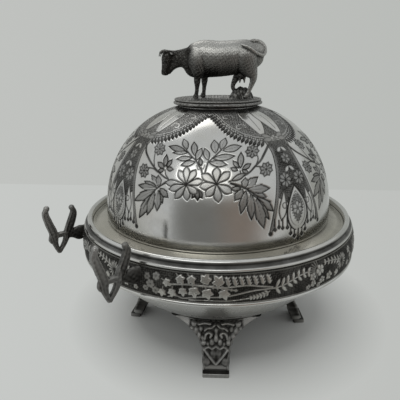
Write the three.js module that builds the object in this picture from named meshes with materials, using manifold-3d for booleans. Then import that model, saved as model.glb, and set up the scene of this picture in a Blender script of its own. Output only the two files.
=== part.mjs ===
// Covered butter dish: a spun bowl on four cast feet with an ornament band and two knife rests,
// a pierced drainer on a ledge inside it, and a domed cover whose handle is a standing cow.
// Millimetres, Z up, the front towards -Y. Zero is the centre of the bowl's flat underside.
import * as THREE from "three";
import { mergeVertices } from "three/addons/utils/BufferGeometryUtils.js";
import Module from "manifold-3d";

const wasm = await Module();
wasm.setup();

// Facets and fits
const STEPS = 40; // facets round every large turned piece, so that nested ones keep an even gap
const SMALL_STEPS = 12; // facets round the stud, the nut's hole and the tips of the knife rests
const GAP = 0.1; // play between two turned pieces that sit in or on each other
const CUT_GAP = 0.3; // play left where a casting is cut to the shape of the piece it sits on
const SHEET = 1.2; // thickness of the spun sheet

// The bowl
const UNDERSIDE_RADIUS = 25; // flat circle in the middle of the underside
const BOWL_CURVE = 92; // radius of the sphere that the bowl's body follows
const WALL_RADIUS = 82.4; // outside of the upright wall behind the ornament band
const SHOULDER_WIDTH = 3.6; // from the curved body out to the upright wall
const SHOULDER_RISE = 0.2;
const WALL_HEIGHT = 16.8;

// The ornament band, the wire under it and the moulding on top of it
const WIRE_RADIUS = 1.2;
const BAND_FOOT_DEPTH = 2.5; // from the wall out to the band's face at its lower edge
const BAND_HEAD_DEPTH = 1.5; // from the wall out to the band's face at its upper edge
const BAND_SWELL = 1.04; // how far the band swells out between its edges
const BEAD_RADIUS = 1;
const ROLL_RADIUS = 1.5;
const ROLL_INSET = 2.3; // the rim's roll stands this much nearer the axis than the bead
const RIM_HEIGHT = 5.5;

// The flange that carries the cover, and the drainer on its ledge
const SEAT_OUTER = 70.5;
const SEAT_INNER = 66.6;
const SEAT_DROP = 2; // the seat lies this far below the top of the rim
const GUTTER_DROP = 1.8; // how far the flange falls from the seat to the gutter beside the rim
const GUTTER_WIDTH = 1.3;
const LEDGE_WIDTH = 4.1; // how far the ledge reaches in under the drainer
const LEDGE_DROP = 3.6; // the drainer's ledge lies this far below the seat
const DRAINER_PLAY = 2; // from the drainer's edge out to the step up to the seat
const HOLE_RADIUS = 2.6;

// The cover
const DOME_RADIUS = 69.6;
const DOME_HEIGHT = 68.2;
const DOME_POWER = 2.3; // two gives an ellipse, more gives fuller shoulders
const STUD_HOLE = 3;
const SPIGOT_DEPTH = 2.3; // how far the cover's locating ring drops into the flange
const BEZEL_HEIGHT = 2.8;

// The finial
const NECK_RADIUS = 23.2;
const COLLAR_RADIUS = 26.6;
const COLLAR_RISE = 0.6; // top of the collar over the top of the dome
const COLLAR_EDGE = 1.2;
const PLINTH_RADIUS = 26;
const PLINTH_EDGE = 1.2;
const MOUND_HEIGHT = 6;
const COW_LENGTH = 62; // from the muzzle to the loop of the tail
const STUD_RADIUS = 2;
const STUD_LENGTH = 9;
const WASHER_RADIUS = 8;
const NUT_RADIUS = 4.6;
const NUT_HEIGHT = 3.2;

// The feet
const FOOT_HEIGHT = 20.4; // from the table to the bowl's underside
const FOOT_REACH = 60.6; // from the dish's axis to the outer edge of a sole
const SOLE_WIDTH = 15.7;
const SOLE_DEPTH = 7;
const SOLE_HEIGHT = 3.8;
const LEG_TOP = 10.4; // how high the foot's wings climb the bowl
const LEG_THICKNESS = 6.4;
const FOOT_BEARINGS = { right: 4, back: 88, left: 172, front: 270 }; // degrees from +X
const WING_SPAN = 53;
const WING_THICKNESS = 1.7;

// The knife rests
const REST_BEARING = 218.5; // degrees from +X to the way both rests point
const REST_SPREAD = 35; // from the middle line between the two rests to each of them
const REST_STANDOFF = 12.75; // from the band's lower edge out to a rest's crossbar
const ARM_TAIL = 7.25; // how far an arm is drawn into the band before it is cut to its face
const REST_HEIGHT = 54.7; // of the crossbar over the bowl's underside
const REST_THICKNESS = 3.4;
const OUTER_PRONG = 17.4; // height of the outer prong over the crossbar
const INNER_PRONG = 15.4;
const POINT_DROP = 11; // from the crossbar down to the point of the V

// Radii and reaches that follow from the sizes above
const BODY_RADIUS = WALL_RADIUS - SHOULDER_WIDTH;
const BAND_FOOT = WALL_RADIUS + BAND_FOOT_DEPTH;
const BAND_HEAD = WALL_RADIUS + BAND_HEAD_DEPTH;
const REST_REACH = Math.sqrt(BAND_FOOT ** 2 - REST_SPREAD ** 2) + REST_STANDOFF;
const DRAINER_RADIUS = SEAT_INNER - DRAINER_PLAY;
const LEDGE_INNER = DRAINER_RADIUS - LEDGE_WIDTH;

// Heights that follow from the sizes above
const BOWL_CENTRE = Math.sqrt(BOWL_CURVE ** 2 - UNDERSIDE_RADIUS ** 2);
const BODY_TOP = BOWL_CENTRE - Math.sqrt(BOWL_CURVE ** 2 - BODY_RADIUS ** 2);
const WALL_FOOT = BODY_TOP + SHOULDER_RISE;
const WALL_TOP = WALL_FOOT + WALL_HEIGHT;
const WIRE_HEIGHT = WALL_FOOT + WIRE_RADIUS / 4;
const BAND_BOTTOM = WIRE_HEIGHT + WIRE_RADIUS + GAP;
const RIM_BOTTOM = WALL_TOP + GAP;
const RIM_TOP = RIM_BOTTOM + RIM_HEIGHT;
const BEAD_CENTRE = WALL_RADIUS + GAP;
const ROLL_CENTRE = BEAD_CENTRE - ROLL_INSET;
const RIM_INNER = ROLL_CENTRE - ROLL_RADIUS;
const SEAT_HEIGHT = RIM_TOP - SEAT_DROP;
const LEDGE_HEIGHT = SEAT_HEIGHT - LEDGE_DROP;
const DOME_BASE = SEAT_HEIGHT + GAP;
const DOME_TOP = DOME_BASE + DOME_HEIGHT;
const COLLAR_TOP = DOME_TOP + COLLAR_RISE;
const PLINTH_BOTTOM = COLLAR_TOP + GAP;
const PLINTH_TOP = PLINTH_BOTTOM + PLINTH_EDGE;

const SILVER = new THREE.MeshStandardMaterial({ color: 0xbab6ad, metalness: 0.9, roughness: 0.3 });
const CHASED = new THREE.MeshStandardMaterial({ color: 0x6f6c66, metalness: 0.9, roughness: 0.45 });
const CAST = new THREE.MeshStandardMaterial({ color: 0x8b8881, metalness: 0.9, roughness: 0.4 });
const STEEL = new THREE.MeshStandardMaterial({ color: 0x77787a, metalness: 0.9, roughness: 0.5 });

const dish = new THREE.Group();

function addPiece(name, solid, material) {
  const piece = new THREE.Mesh(geometryOf(solid), material);
  piece.name = name;
  dish.add(piece);
}

// Turns a geometry into a solid that can be joined and cut
function solidOf(geometry) {
  const bare = geometry.clone();
  bare.deleteAttribute("normal");
  bare.deleteAttribute("uv");
  const merged = mergeVertices(bare, 1e-4);
  const mesh = new wasm.Mesh({
    numProp: 3,
    vertProperties: merged.attributes.position.array,
    triVerts: new Uint32Array(merged.index.array),
  });
  return new wasm.Manifold(mesh);
}

function geometryOf(solid) {
  const mesh = solid.getMesh();
  const geometry = new THREE.BufferGeometry();
  geometry.setAttribute("position", new THREE.BufferAttribute(mesh.vertProperties, 3));
  geometry.setIndex(new THREE.BufferAttribute(mesh.triVerts, 1));
  geometry.computeVertexNormals();
  return geometry;
}

function joined(solids) {
  return solids.reduce((sum, solid) => sum.add(solid));
}

// Points at even steps of a value that runs from 0 to 1
function along(count, pointAt) {
  return Array.from({ length: count + 1 }, (_, i) => pointAt(i / count));
}

// Points on a circle's arc, the angles in degrees from the direction of +X
function arc(centre, radius, fromDegrees, toDegrees, count) {
  return along(count, (t) => {
    const angle = THREE.MathUtils.degToRad(THREE.MathUtils.lerp(fromDegrees, toDegrees, t));
    return [centre[0] + radius * Math.cos(angle), centre[1] + radius * Math.sin(angle)];
  });
}

// Turns an outline of [radius, height] points round the Z axis. The outline runs with the metal
// on its left. It starts and ends on the axis, or else it is closed into a ring.
function turned(outline, steps = STEPS) {
  const points = outline.map(([radius, height]) => new THREE.Vector2(radius, height));
  const isRing = outline[0][0] > 0;
  if (isRing) points.push(points[0].clone());
  return solidOf(new THREE.LatheGeometry(points, steps).rotateX(Math.PI / 2));
}

// A prism whose outline stands upright in X and Z and whose thickness lies evenly across Y
function upright(outline, thickness) {
  const shape = new THREE.Shape(outline.map(([x, z]) => new THREE.Vector2(x, z)));
  const prism = new THREE.ExtrudeGeometry(shape, { depth: thickness, bevelEnabled: false });
  return prism.rotateX(Math.PI / 2).translate(0, thickness / 2, 0);
}

// A closed skin through oval rings along a smooth path. Each ring is [x, y, z, across, along]:
// its centre, its half width in the direction of "side", and its half width square to that.
function loft(rings, sides, rows, side = new THREE.Vector3(0, 1, 0)) {
  const path = new THREE.CatmullRomCurve3(rings.map(([x, y, z]) => new THREE.Vector3(x, y, z)));
  const sizes = new THREE.CatmullRomCurve3(rings.map((r) => new THREE.Vector3(r[3], r[4], 0)));
  const vertices = [];
  for (let row = 0; row <= rows; row++) {
    const forward = path.getTangent(row / rows);
    const across = side.clone().addScaledVector(forward, -side.dot(forward)).normalize();
    const upward = new THREE.Vector3().crossVectors(forward, across);
    const centre = path.getPoint(row / rows);
    const size = sizes.getPoint(row / rows);
    for (let i = 0; i < sides; i++) {
      const angle = (i / sides) * 2 * Math.PI;
      const vertex = centre.clone();
      vertex.addScaledVector(across, size.x * Math.cos(angle));
      vertex.addScaledVector(upward, size.y * Math.sin(angle));
      vertices.push(...vertex);
    }
  }
  const faces = [];
  for (let i = 0; i < sides; i++) {
    const next = (i + 1) % sides;
    for (let row = 0; row < rows; row++) {
      const low = row * sides;
      const high = low + sides;
      faces.push(low + i, low + next, high + next, low + i, high + next, high + i);
    }
    if (i > 0 && next > 0) {
      const last = rows * sides;
      faces.push(0, next, i, last, last + i, last + next);
    }
  }
  const skin = new THREE.BufferGeometry();
  skin.setAttribute("position", new THREE.Float32BufferAttribute(vertices, 3));
  skin.setIndex(faces);
  return solidOf(skin);
}

// Points along the bowl's sphere, moved outwards by an offset, from one radius to another
function bowlArc(offset, fromRadius, toRadius, count) {
  const curve = BOWL_CURVE + offset;
  const start = Math.asin(fromRadius / curve);
  const end = Math.asin(toRadius / curve);
  return along(count, (t) => {
    const angle = THREE.MathUtils.lerp(start, end, t);
    return [curve * Math.sin(angle), BOWL_CENTRE - curve * Math.cos(angle)];
  });
}

// An open spun bowl with a flat underside and an upright wall
function bowl() {
  const innerWall = WALL_RADIUS - SHEET;
  return turned([
    [0, 0],
    ...bowlArc(0, UNDERSIDE_RADIUS, BODY_RADIUS, 9),
    [WALL_RADIUS, WALL_FOOT],
    [WALL_RADIUS, WALL_TOP],
    [innerWall, WALL_TOP],
    [innerWall, WALL_FOOT + SHEET],
    ...bowlArc(-SHEET, BODY_RADIUS - SHEET, UNDERSIDE_RADIUS, 7),
    [0, SHEET],
  ]);
}

function bandRadius(t) {
  return THREE.MathUtils.lerp(BAND_FOOT, BAND_HEAD, t) + 4 * BAND_SWELL * t * (1 - t);
}

function ornamentBand() {
  const inner = WALL_RADIUS + GAP;
  const face = along(5, (t) => [bandRadius(t), THREE.MathUtils.lerp(BAND_BOTTOM, WALL_TOP, t)]);
  return turned([[inner, BAND_BOTTOM], ...face, [inner, WALL_TOP]]);
}

function baseWire() {
  const centre = [WALL_RADIUS + GAP + WIRE_RADIUS, WIRE_HEIGHT];
  return turned(arc(centre, WIRE_RADIUS, -180, 135, 7));
}

// A bead at the foot, a hollow over it and a round roll on top
function rimMoulding() {
  const bead = [BEAD_CENTRE, RIM_BOTTOM + BEAD_RADIUS];
  const roll = [ROLL_CENTRE, RIM_TOP - ROLL_RADIUS];
  const hollow = [ROLL_CENTRE + ROLL_RADIUS * 0.8, (bead[1] + roll[1]) / 2 + BEAD_RADIUS / 4];
  return turned([
    [RIM_INNER, RIM_BOTTOM],
    ...arc(bead, BEAD_RADIUS, -90, 80, 4),
    hollow,
    ...arc(roll, ROLL_RADIUS, -20, 180, 6),
  ]);
}

// The sheet that slopes from the rim up to the cover's seat and steps down to the drainer's ledge
function flangeRing() {
  const outer = RIM_INNER - GAP;
  const gutter = SEAT_HEIGHT - GUTTER_DROP;
  const top = [
    [LEDGE_INNER, LEDGE_HEIGHT],
    [SEAT_INNER, LEDGE_HEIGHT],
    [SEAT_INNER, SEAT_HEIGHT],
    [SEAT_OUTER, SEAT_HEIGHT],
    [outer - GUTTER_WIDTH, gutter],
    [outer, gutter],
  ];
  const underside = top.map(([radius, height]) => {
    const isStep = radius === SEAT_INNER;
    return [isStep ? radius + SHEET : radius, height - SHEET];
  });
  return turned([...underside, ...top.reverse()]);
}

// A flat plate with rings of round holes
function drainer() {
  const bottom = LEDGE_HEIGHT + GAP;
  const plate = turned([
    [0, bottom],
    [DRAINER_RADIUS, bottom],
    [DRAINER_RADIUS, bottom + SHEET],
    [0, bottom + SHEET],
  ]);
  const drill = new THREE.CylinderGeometry(HOLE_RADIUS, HOLE_RADIUS, 4 * SHEET, 8);
  drill.rotateX(Math.PI / 2).translate(0, 0, bottom);
  const holes = [solidOf(drill)];
  for (const ring of [1, 2, 3]) {
    const count = 6 * ring;
    const radius = (DRAINER_RADIUS * ring) / 4;
    for (let i = 0; i < count; i++) {
      const hole = drill.clone().translate(radius, 0, 0);
      holes.push(solidOf(hole.rotateZ((i / count) * 2 * Math.PI)));
    }
  }
  return plate.subtract(joined(holes));
}

// Points up the dome's side, moved inwards by an inset, from its foot to a given radius. Radius
// and height obey (r / R) to the power p plus (z / H) to the power p equals 1.
function domeArc(inset, toRadius, count) {
  const radius = DOME_RADIUS - inset;
  const height = DOME_HEIGHT - inset;
  const end = Math.acos((toRadius / radius) ** (DOME_POWER / 2));
  return along(count, (t) => {
    const r = radius * Math.cos(end * t) ** (2 / DOME_POWER);
    const z = height * Math.sin(end * t) ** (2 / DOME_POWER);
    return [r, DOME_BASE + z];
  });
}

const OUTSIDE = domeArc(0, STUD_HOLE, 12);
const INSIDE = domeArc(SHEET, STUD_HOLE, 10);

// Height of one of the dome's faceted sides over a radius
function heightOn(side, radius) {
  const next = side.findIndex(([r]) => r <= radius);
  const [lowRadius, low] = side[next - 1];
  const [highRadius, high] = side[next];
  return low + ((high - low) * (lowRadius - radius)) / (lowRadius - highRadius);
}

function coverDome() {
  return turned([...OUTSIDE, ...INSIDE.toReversed()]);
}

// The ring inside the cover's edge: a spigot that drops into the flange and a shoulder over it
function coverBezel() {
  const outer = DOME_RADIUS - SHEET - 2 * GAP;
  const spigotOuter = SEAT_INNER - CUT_GAP;
  const spigotInner = spigotOuter - SHEET;
  const top = DOME_BASE + BEZEL_HEIGHT;
  return turned([
    [spigotInner, DOME_BASE - SPIGOT_DEPTH],
    [spigotOuter, DOME_BASE - SPIGOT_DEPTH],
    [spigotOuter, DOME_BASE],
    [outer, DOME_BASE],
    [outer, top],
    [outer - SHEET, top],
    [spigotInner, DOME_BASE + SHEET],
  ]);
}

// A ring with a hollow neck that stands on the dome
function finialCollar() {
  const inner = NECK_RADIUS - SHEET;
  const edge = COLLAR_TOP - COLLAR_EDGE;
  const foot = heightOn(OUTSIDE, NECK_RADIUS) + GAP;
  const neck = along(3, (t) => [
    THREE.MathUtils.lerp(NECK_RADIUS, COLLAR_RADIUS, t * t),
    THREE.MathUtils.lerp(foot, edge, t),
  ]);
  return turned([
    [inner, heightOn(OUTSIDE, inner) + GAP],
    ...neck,
    [COLLAR_RADIUS, COLLAR_TOP],
    [inner, COLLAR_TOP],
  ]);
}

// The rocky ground under the cow's hindquarters, grown by an offset when it is used as a cutter
function mound(offset) {
  const outline = [
    [0, -offset],
    [1.05, -offset],
    [0.9, 0.3],
    [0.62, 0.72],
    [0.45, 0.96],
    [0, 1],
  ];
  const size = outline.map(([r, z]) => new THREE.Vector2(r, z));
  const rock = new THREE.LatheGeometry(size, 10).rotateX(Math.PI / 2);
  const halfLength = 0.102 * COW_LENGTH;
  const halfWidth = 0.081 * COW_LENGTH;
  rock.scale(halfLength + offset, halfWidth + offset, MOUND_HEIGHT + offset);
  return rock.translate(0.229 * COW_LENGTH, 0.029 * COW_LENGTH, PLINTH_TOP);
}

function finialPlinth() {
  const plate = turned([
    [0, PLINTH_BOTTOM],
    [PLINTH_RADIUS, PLINTH_BOTTOM],
    [PLINTH_RADIUS, PLINTH_TOP - PLINTH_EDGE / 4],
    [PLINTH_RADIUS - PLINTH_EDGE / 4, PLINTH_TOP],
    [0, PLINTH_TOP],
  ]);
  return plate.add(solidOf(mound(0.02)));
}

// The same leg or horn on the far side of the cow
function mirrored(rings) {
  return rings.map(([x, y, z, across, along]) => [x, -y, z, across, along]);
}

// The cow stands on Z = 0 here and faces -X, and the near side is -Y. Its outlines are drawn
// for one length and scaled to the length that is named above.
function cow() {
  const drawnLength = 62;
  const torso = loft(
    [
      [-18.6, 0, 21, 3.6, 6.4],
      [-14.6, 0, 21.1, 6.2, 10.2],
      [-8.5, 0, 22.5, 7.2, 10.7],
      [0, 0, 22.5, 8.3, 10.1],
      [8, 0, 23, 8, 9.6],
      [16, 0, 24.2, 7.4, 9.2],
      [20.8, 0, 25, 6.4, 8.1],
      [24.4, 0, 26.4, 4.8, 5.6],
      [27.2, 0, 27.2, 2.4, 3],
    ],
    14,
    15,
  );
  const neck = loft(
    [
      [-10, 0, 22.3, 5.8, 9.9],
      [-15.5, 0, 22.4, 5, 9],
      [-20, 0, 22.6, 3.9, 6.3],
      [-24.5, 0, 22.8, 3.2, 4.6],
      [-30, 0, 23.6, 2.6, 3.4],
    ],
    12,
    7,
  );
  const head = loft(
    [
      [-29.5, 0, 27, 1.9, 2.1],
      [-29.5, 0, 24, 3.1, 3.6],
      [-30, 0, 19.5, 2.8, 3.3],
      [-31.2, 0, 16, 2.2, 2.6],
      [-31.6, 0, 13.5, 1.7, 1.8],
    ],
    10,
    7,
  );
  const horn = [
    [-29.4, -1.4, 25.6, 0.9, 0.9],
    [-31.4, -3, 26.2, 0.85, 0.85],
    [-33.8, -3.2, 25.2, 0.7, 0.7],
    [-34.4, -2.6, 22.4, 0.3, 0.3],
  ];
  const ear = [
    [-28.4, -2, 25, 0.7, 0.5],
    [-27.8, -4, 24.6, 1.5, 0.6],
    [-27.4, -6, 23.6, 0.4, 0.25],
  ];
  const foreleg = [
    [-11.2, -3.6, 18, 2.4, 3.8],
    [-11.9, -4, 12, 1.8, 2.3],
    [-12.2, -4.1, 6.8, 1.4, 1.55],
    [-12.6, -4.1, 2.4, 1.15, 1.25],
    [-13.2, -4.1, -0.6, 1.5, 1.8],
  ];
  const hindleg = [
    [16.4, -3.4, 25, 3.4, 6.4],
    [18, -3.9, 18.5, 3, 5.2],
    [20.4, -4.2, 12.8, 1.9, 2.7],
    [19.8, -4.2, 8, 1.35, 1.65],
    [17.6, -4.2, 3, 1.2, 1.35],
    [16, -4.2, -0.8, 1.5, 1.9],
  ];
  const bentLeg = [
    [15, 3.4, 22, 2.8, 5],
    [13.2, 3.9, 15.5, 2.4, 3.5],
    [10.2, 4, 10, 1.5, 1.8],
    [9, 4, 6.6, 1.2, 1.35],
    [10.6, 4, 2.6, 1.3, 1.5],
  ];
  const tail = [
    [20, 0, 31.6, 1.3, 1.3],
    [25.4, 0, 30.8, 1.15, 1.15],
    [27.2, -1, 27.2, 1, 1],
    [25.2, -4, 23.8, 1, 1],
    [21.4, -6.8, 26, 1, 1],
    [17, -7.4, 29.2, 1.1, 1.1],
    [12.6, -6.9, 30.2, 0.7, 0.7],
  ];
  const farForeleg = mirrored(foreleg).map(([x, ...rest]) => [x + 4, ...rest]);
  const udder = new THREE.SphereGeometry(1, 10, 7).scale(3.3, 3.4, 3.2).translate(14.2, 0, 13.6);
  const across = new THREE.Vector3(1, 0, 0);
  const parts = [torso, neck, head, solidOf(udder)];
  parts.push(loft(foreleg, 8, 7), loft(farForeleg, 8, 7));
  parts.push(loft(hindleg, 8, 9), loft(bentLeg, 8, 8));
  parts.push(loft(tail, 6, 14));
  for (const points of [horn, mirrored(horn)]) parts.push(loft(points, 6, 5));
  for (const points of [ear, mirrored(ear)]) parts.push(loft(points, 6, 3, across));
  for (const x of [13, 15.4]) {
    for (const y of [-1.3, 1.3]) {
      const teat = new THREE.ConeGeometry(0.75, 4, 6).rotateX(-Math.PI / 2);
      parts.push(solidOf(teat.translate(x, y, 11)));
    }
  }
  const below = new THREE.BoxGeometry(80, 40, 20).translate(0, 0, -10);
  return joined(parts)
    .subtract(solidOf(below))
    .scale(COW_LENGTH / drawnLength)
    .translate([0, 0, PLINTH_TOP + GAP])
    .subtract(solidOf(mound(CUT_GAP)));
}

// The fixing inside the cover: a stud down from the plinth, with a washer and a nut on it
function finialStud() {
  const top = PLINTH_BOTTOM - GAP;
  const foot = top - STUD_LENGTH;
  const tip = STUD_RADIUS / 4;
  return turned(
    [
      [0, foot],
      [STUD_RADIUS - tip, foot],
      [STUD_RADIUS, foot + tip],
      [STUD_RADIUS, top],
      [0, top],
    ],
    SMALL_STEPS,
  );
}

const WASHER_TOP = heightOn(INSIDE, WASHER_RADIUS) - GAP;
const NUT_TOP = WASHER_TOP - SHEET - GAP;

function finialWasher() {
  const hole = STUD_RADIUS + CUT_GAP;
  return turned(
    [
      [hole, WASHER_TOP - SHEET],
      [WASHER_RADIUS, WASHER_TOP - SHEET],
      [WASHER_RADIUS, WASHER_TOP],
      [hole, WASHER_TOP],
    ],
    2 * SMALL_STEPS,
  );
}

function finialNut() {
  const middle = NUT_TOP - NUT_HEIGHT / 2;
  const hexagon = new THREE.CylinderGeometry(NUT_RADIUS, NUT_RADIUS, NUT_HEIGHT, 6);
  const hole = STUD_RADIUS + GAP;
  const bore = new THREE.CylinderGeometry(hole, hole, 2 * NUT_HEIGHT, SMALL_STEPS);
  const body = solidOf(hexagon.rotateX(Math.PI / 2).translate(0, 0, middle));
  return body.subtract(solidOf(bore.rotateX(Math.PI / 2).translate(0, 0, middle)));
}

// Everything inside the bowl's body, grown by an offset
function filledBody(offset) {
  const body = bowlArc(offset, UNDERSIDE_RADIUS, BODY_RADIUS, 9);
  const top = body[body.length - 1][1];
  return turned([[0, body[0][1]], ...body, [0, top]]);
}

// A foot that reaches out along +X: a leaning leg on a square sole, with wings that hug the bowl
function foot() {
  const soleTop = SOLE_HEIGHT - FOOT_HEIGHT;
  const groove = 0.8;
  const faceTop = Math.sqrt(BOWL_CURVE ** 2 - (BOWL_CENTRE - LEG_TOP) ** 2) - 4;
  const faceFoot = FOOT_REACH - 2.4;
  const bulge = 1.2;
  const face = along(4, (t) => [
    THREE.MathUtils.lerp(faceFoot, faceTop, t) + 4 * bulge * t * (1 - t),
    THREE.MathUtils.lerp(soleTop + groove, LEG_TOP, t),
  ]);
  const sideOutline = [
    [FOOT_REACH - SOLE_DEPTH, -FOOT_HEIGHT],
    [FOOT_REACH, -FOOT_HEIGHT],
    [FOOT_REACH, soleTop - groove],
    [FOOT_REACH - groove, soleTop],
    ...face,
    ...face.map(([x, z]) => [x - LEG_THICKNESS, z]).reverse(),
    [FOOT_REACH - SOLE_DEPTH, soleTop],
  ];
  // The half width grows slowly up the leg and then sweeps out into the wings
  const rise = LEG_TOP - soleTop;
  const halfWidth = (t) => SOLE_WIDTH / 2 + (WING_SPAN / 2 - SOLE_WIDTH / 2) * t ** 3.4;
  const edge = along(8, (t) => [halfWidth(t) + 0.25 * t, soleTop + rise * t]);
  const nearEdge = [[SOLE_WIDTH / 2, -FOOT_HEIGHT], ...edge];
  const farEdge = nearEdge.map(([y, z]) => [-y, z]).reverse();
  const frontOutline = upright([...nearEdge, ...farEdge], FOOT_REACH).rotateZ(Math.PI / 2);
  const front = solidOf(frontOutline.translate(FOOT_REACH, 0, 0));
  const leg = solidOf(upright(sideOutline, WING_SPAN)).intersect(front);
  const wings = filledBody(WING_THICKNESS).intersect(front);
  return leg.add(wings).subtract(filledBody(CUT_GAP));
}

// A flat strap of even thickness along a smooth line of [x, z, width] points
function strap(stations, divisions) {
  const line = new THREE.CatmullRomCurve3(stations.map(([x, z, w]) => new THREE.Vector3(x, z, w)));
  const sideOf = (sign) =>
    along(divisions, (t) => {
      const point = line.getPoint(t);
      const heading = line.getTangent(t).setZ(0).normalize();
      const reach = (sign * point.z) / 2;
      return [point.x + heading.y * reach, point.y - heading.x * reach];
    });
  return solidOf(upright([...sideOf(1), ...sideOf(-1).reverse()], REST_THICKNESS));
}

// A rest whose crossbar is at the origin: a V of two prongs over a point, on an arm towards -X
function knifeRest() {
  const point = [3.2, -POINT_DROP, 1.8];
  const outerProng = strap(
    [
      point,
      [5, -5, 3.2],
      [5.3, 1.2, 4.8],
      [7.3, OUTER_PRONG * 0.45, 4.6],
      [8.8, OUTER_PRONG * 0.8, 4],
      [7.9, OUTER_PRONG, 2.6],
    ],
    12,
  );
  const innerProng = strap(
    [
      point,
      [-0.8, -5, 2.6],
      [-3.2, 1.2, 4.4],
      [-5.8, INNER_PRONG * 0.45, 4.6],
      [-7.7, INNER_PRONG * 0.8, 4],
      [-7, INNER_PRONG, 2.6],
    ],
    12,
  );
  const crossbar = strap(
    [
      [3.6, 0, 2],
      [-3, 0, 2],
    ],
    1,
  );
  const leaf = strap(
    [
      [5.2, -5, 1.6],
      [7, -2.4, 3.2],
      [6.6, 1, 2.2],
    ],
    5,
  );
  const arm = strap(
    [
      [-0.24 * REST_STANDOFF, -0.8, 4],
      [-0.51 * REST_STANDOFF, -0.8, 6],
      [-0.78 * REST_STANDOFF, -1.4, 9.2],
      [-REST_STANDOFF, -1.2, 8.2],
      [-REST_STANDOFF - ARM_TAIL, -1.2, 8.2],
    ],
    6,
  );
  const tip = new THREE.SphereGeometry(1.9, SMALL_STEPS, 7);
  const outerTip = solidOf(tip.clone().translate(7.8, 0, OUTER_PRONG));
  const innerTip = solidOf(tip.clone().translate(-6.9, 0, INNER_PRONG));
  return joined([outerProng, innerProng, crossbar, leaf, arm, outerTip, innerTip]);
}

// The outside of the dish at the band, grown by a gap, that the arms of the rests are cut to
function filledBand() {
  const face = along(5, (t) => [
    bandRadius(t) + CUT_GAP,
    THREE.MathUtils.lerp(BAND_BOTTOM, WALL_TOP, t),
  ]);
  const low = WIRE_HEIGHT - 10;
  const high = RIM_TOP + 10;
  const foot = BAND_FOOT + CUT_GAP;
  const head = BAND_HEAD + CUT_GAP;
  return turned([[0, low], [foot, low], ...face, [head, high], [0, high]]);
}

// A rest in its place: side is -1 for the left one and 1 for the front one
function placedRest(side) {
  return knifeRest()
    .translate([REST_REACH, side * REST_SPREAD, REST_HEIGHT])
    .rotate([0, 0, REST_BEARING])
    .subtract(filledBand());
}

addPiece("bowl", bowl(), SILVER);
addPiece("ornament_band", ornamentBand(), CHASED);
addPiece("base_wire", baseWire(), SILVER);
addPiece("rim_moulding", rimMoulding(), SILVER);
addPiece("flange_ring", flangeRing(), SILVER);
for (const [side, bearing] of Object.entries(FOOT_BEARINGS)) {
  addPiece("foot_" + side, foot().rotate([0, 0, bearing]), CAST);
}
addPiece("knife_rest_left", placedRest(-1), CAST);
addPiece("knife_rest_front", placedRest(1), CAST);
addPiece("drainer", drainer(), SILVER);
addPiece("cover_dome", coverDome(), SILVER);
addPiece("cover_bezel", coverBezel(), SILVER);
addPiece("finial_collar", finialCollar(), CHASED);
addPiece("finial_plinth", finialPlinth(), CHASED);
addPiece("cow", cow(), CAST);
addPiece("finial_stud", finialStud(), STEEL);
addPiece("finial_washer", finialWasher(), STEEL);
addPiece("finial_nut", finialNut(), STEEL);

export default dish;
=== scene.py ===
# %% [markdown]
# A covered butter dish in silver plate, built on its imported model.
# The real dish is spun and cast metal: a spun bowl and dome, a stamped band, cast feet, cast
# knife rests and a cast cow for a handle. Every turned part could be a screw modifier on a
# curve, but here each one is worked out as a whole array of points, so that engraving and
# stamped relief can be pressed into the same surface as real depth.

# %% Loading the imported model
import bpy
import bmesh
import numpy as np
from mathutils import Matrix


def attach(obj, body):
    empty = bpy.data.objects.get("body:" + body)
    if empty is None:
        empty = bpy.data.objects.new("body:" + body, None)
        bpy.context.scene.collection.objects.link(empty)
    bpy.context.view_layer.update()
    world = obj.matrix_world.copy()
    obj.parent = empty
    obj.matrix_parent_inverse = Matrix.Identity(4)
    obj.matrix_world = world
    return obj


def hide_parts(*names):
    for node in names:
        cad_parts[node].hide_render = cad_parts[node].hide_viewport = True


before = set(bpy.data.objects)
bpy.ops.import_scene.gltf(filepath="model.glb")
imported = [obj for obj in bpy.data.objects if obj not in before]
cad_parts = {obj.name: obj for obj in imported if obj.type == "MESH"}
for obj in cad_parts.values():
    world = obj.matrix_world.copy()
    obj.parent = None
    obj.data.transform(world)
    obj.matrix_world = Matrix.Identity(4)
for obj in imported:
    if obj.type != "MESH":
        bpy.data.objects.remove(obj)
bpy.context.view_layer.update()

# %% [markdown]
# The camera stands where the photograph was taken from: a little over the dish, looking down
# about 18 degrees. A camera in Blender looks along its own -Z, so its three axes go into the
# columns of its matrix. The lens follows from the photograph's field of view.

# %% The camera
CAMERA_PLACE = np.array([0.0, -0.265, 0.15279])
CAMERA_PITCH = 0.3114
CAMERA_TURN = -0.041524
CAMERA_ROLL = -0.0056629
CAMERA_LENS = 38.776
SENSOR_WIDTH = 36.0


def camera_axes(turn, pitch, roll):
    """Forward is (sin turn cos pitch, cos turn cos pitch, -sin pitch); right is level; up is
    right x forward; both are then rolled about forward."""
    forward = np.array([np.sin(turn) * np.cos(pitch), np.cos(turn) * np.cos(pitch),
                        -np.sin(pitch)])
    level = np.array([np.cos(turn), -np.sin(turn), 0.0])
    upright = np.cross(level, forward)
    right = np.cos(roll) * level + np.sin(roll) * upright
    up = -np.sin(roll) * level + np.cos(roll) * upright
    return right, up, forward


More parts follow.
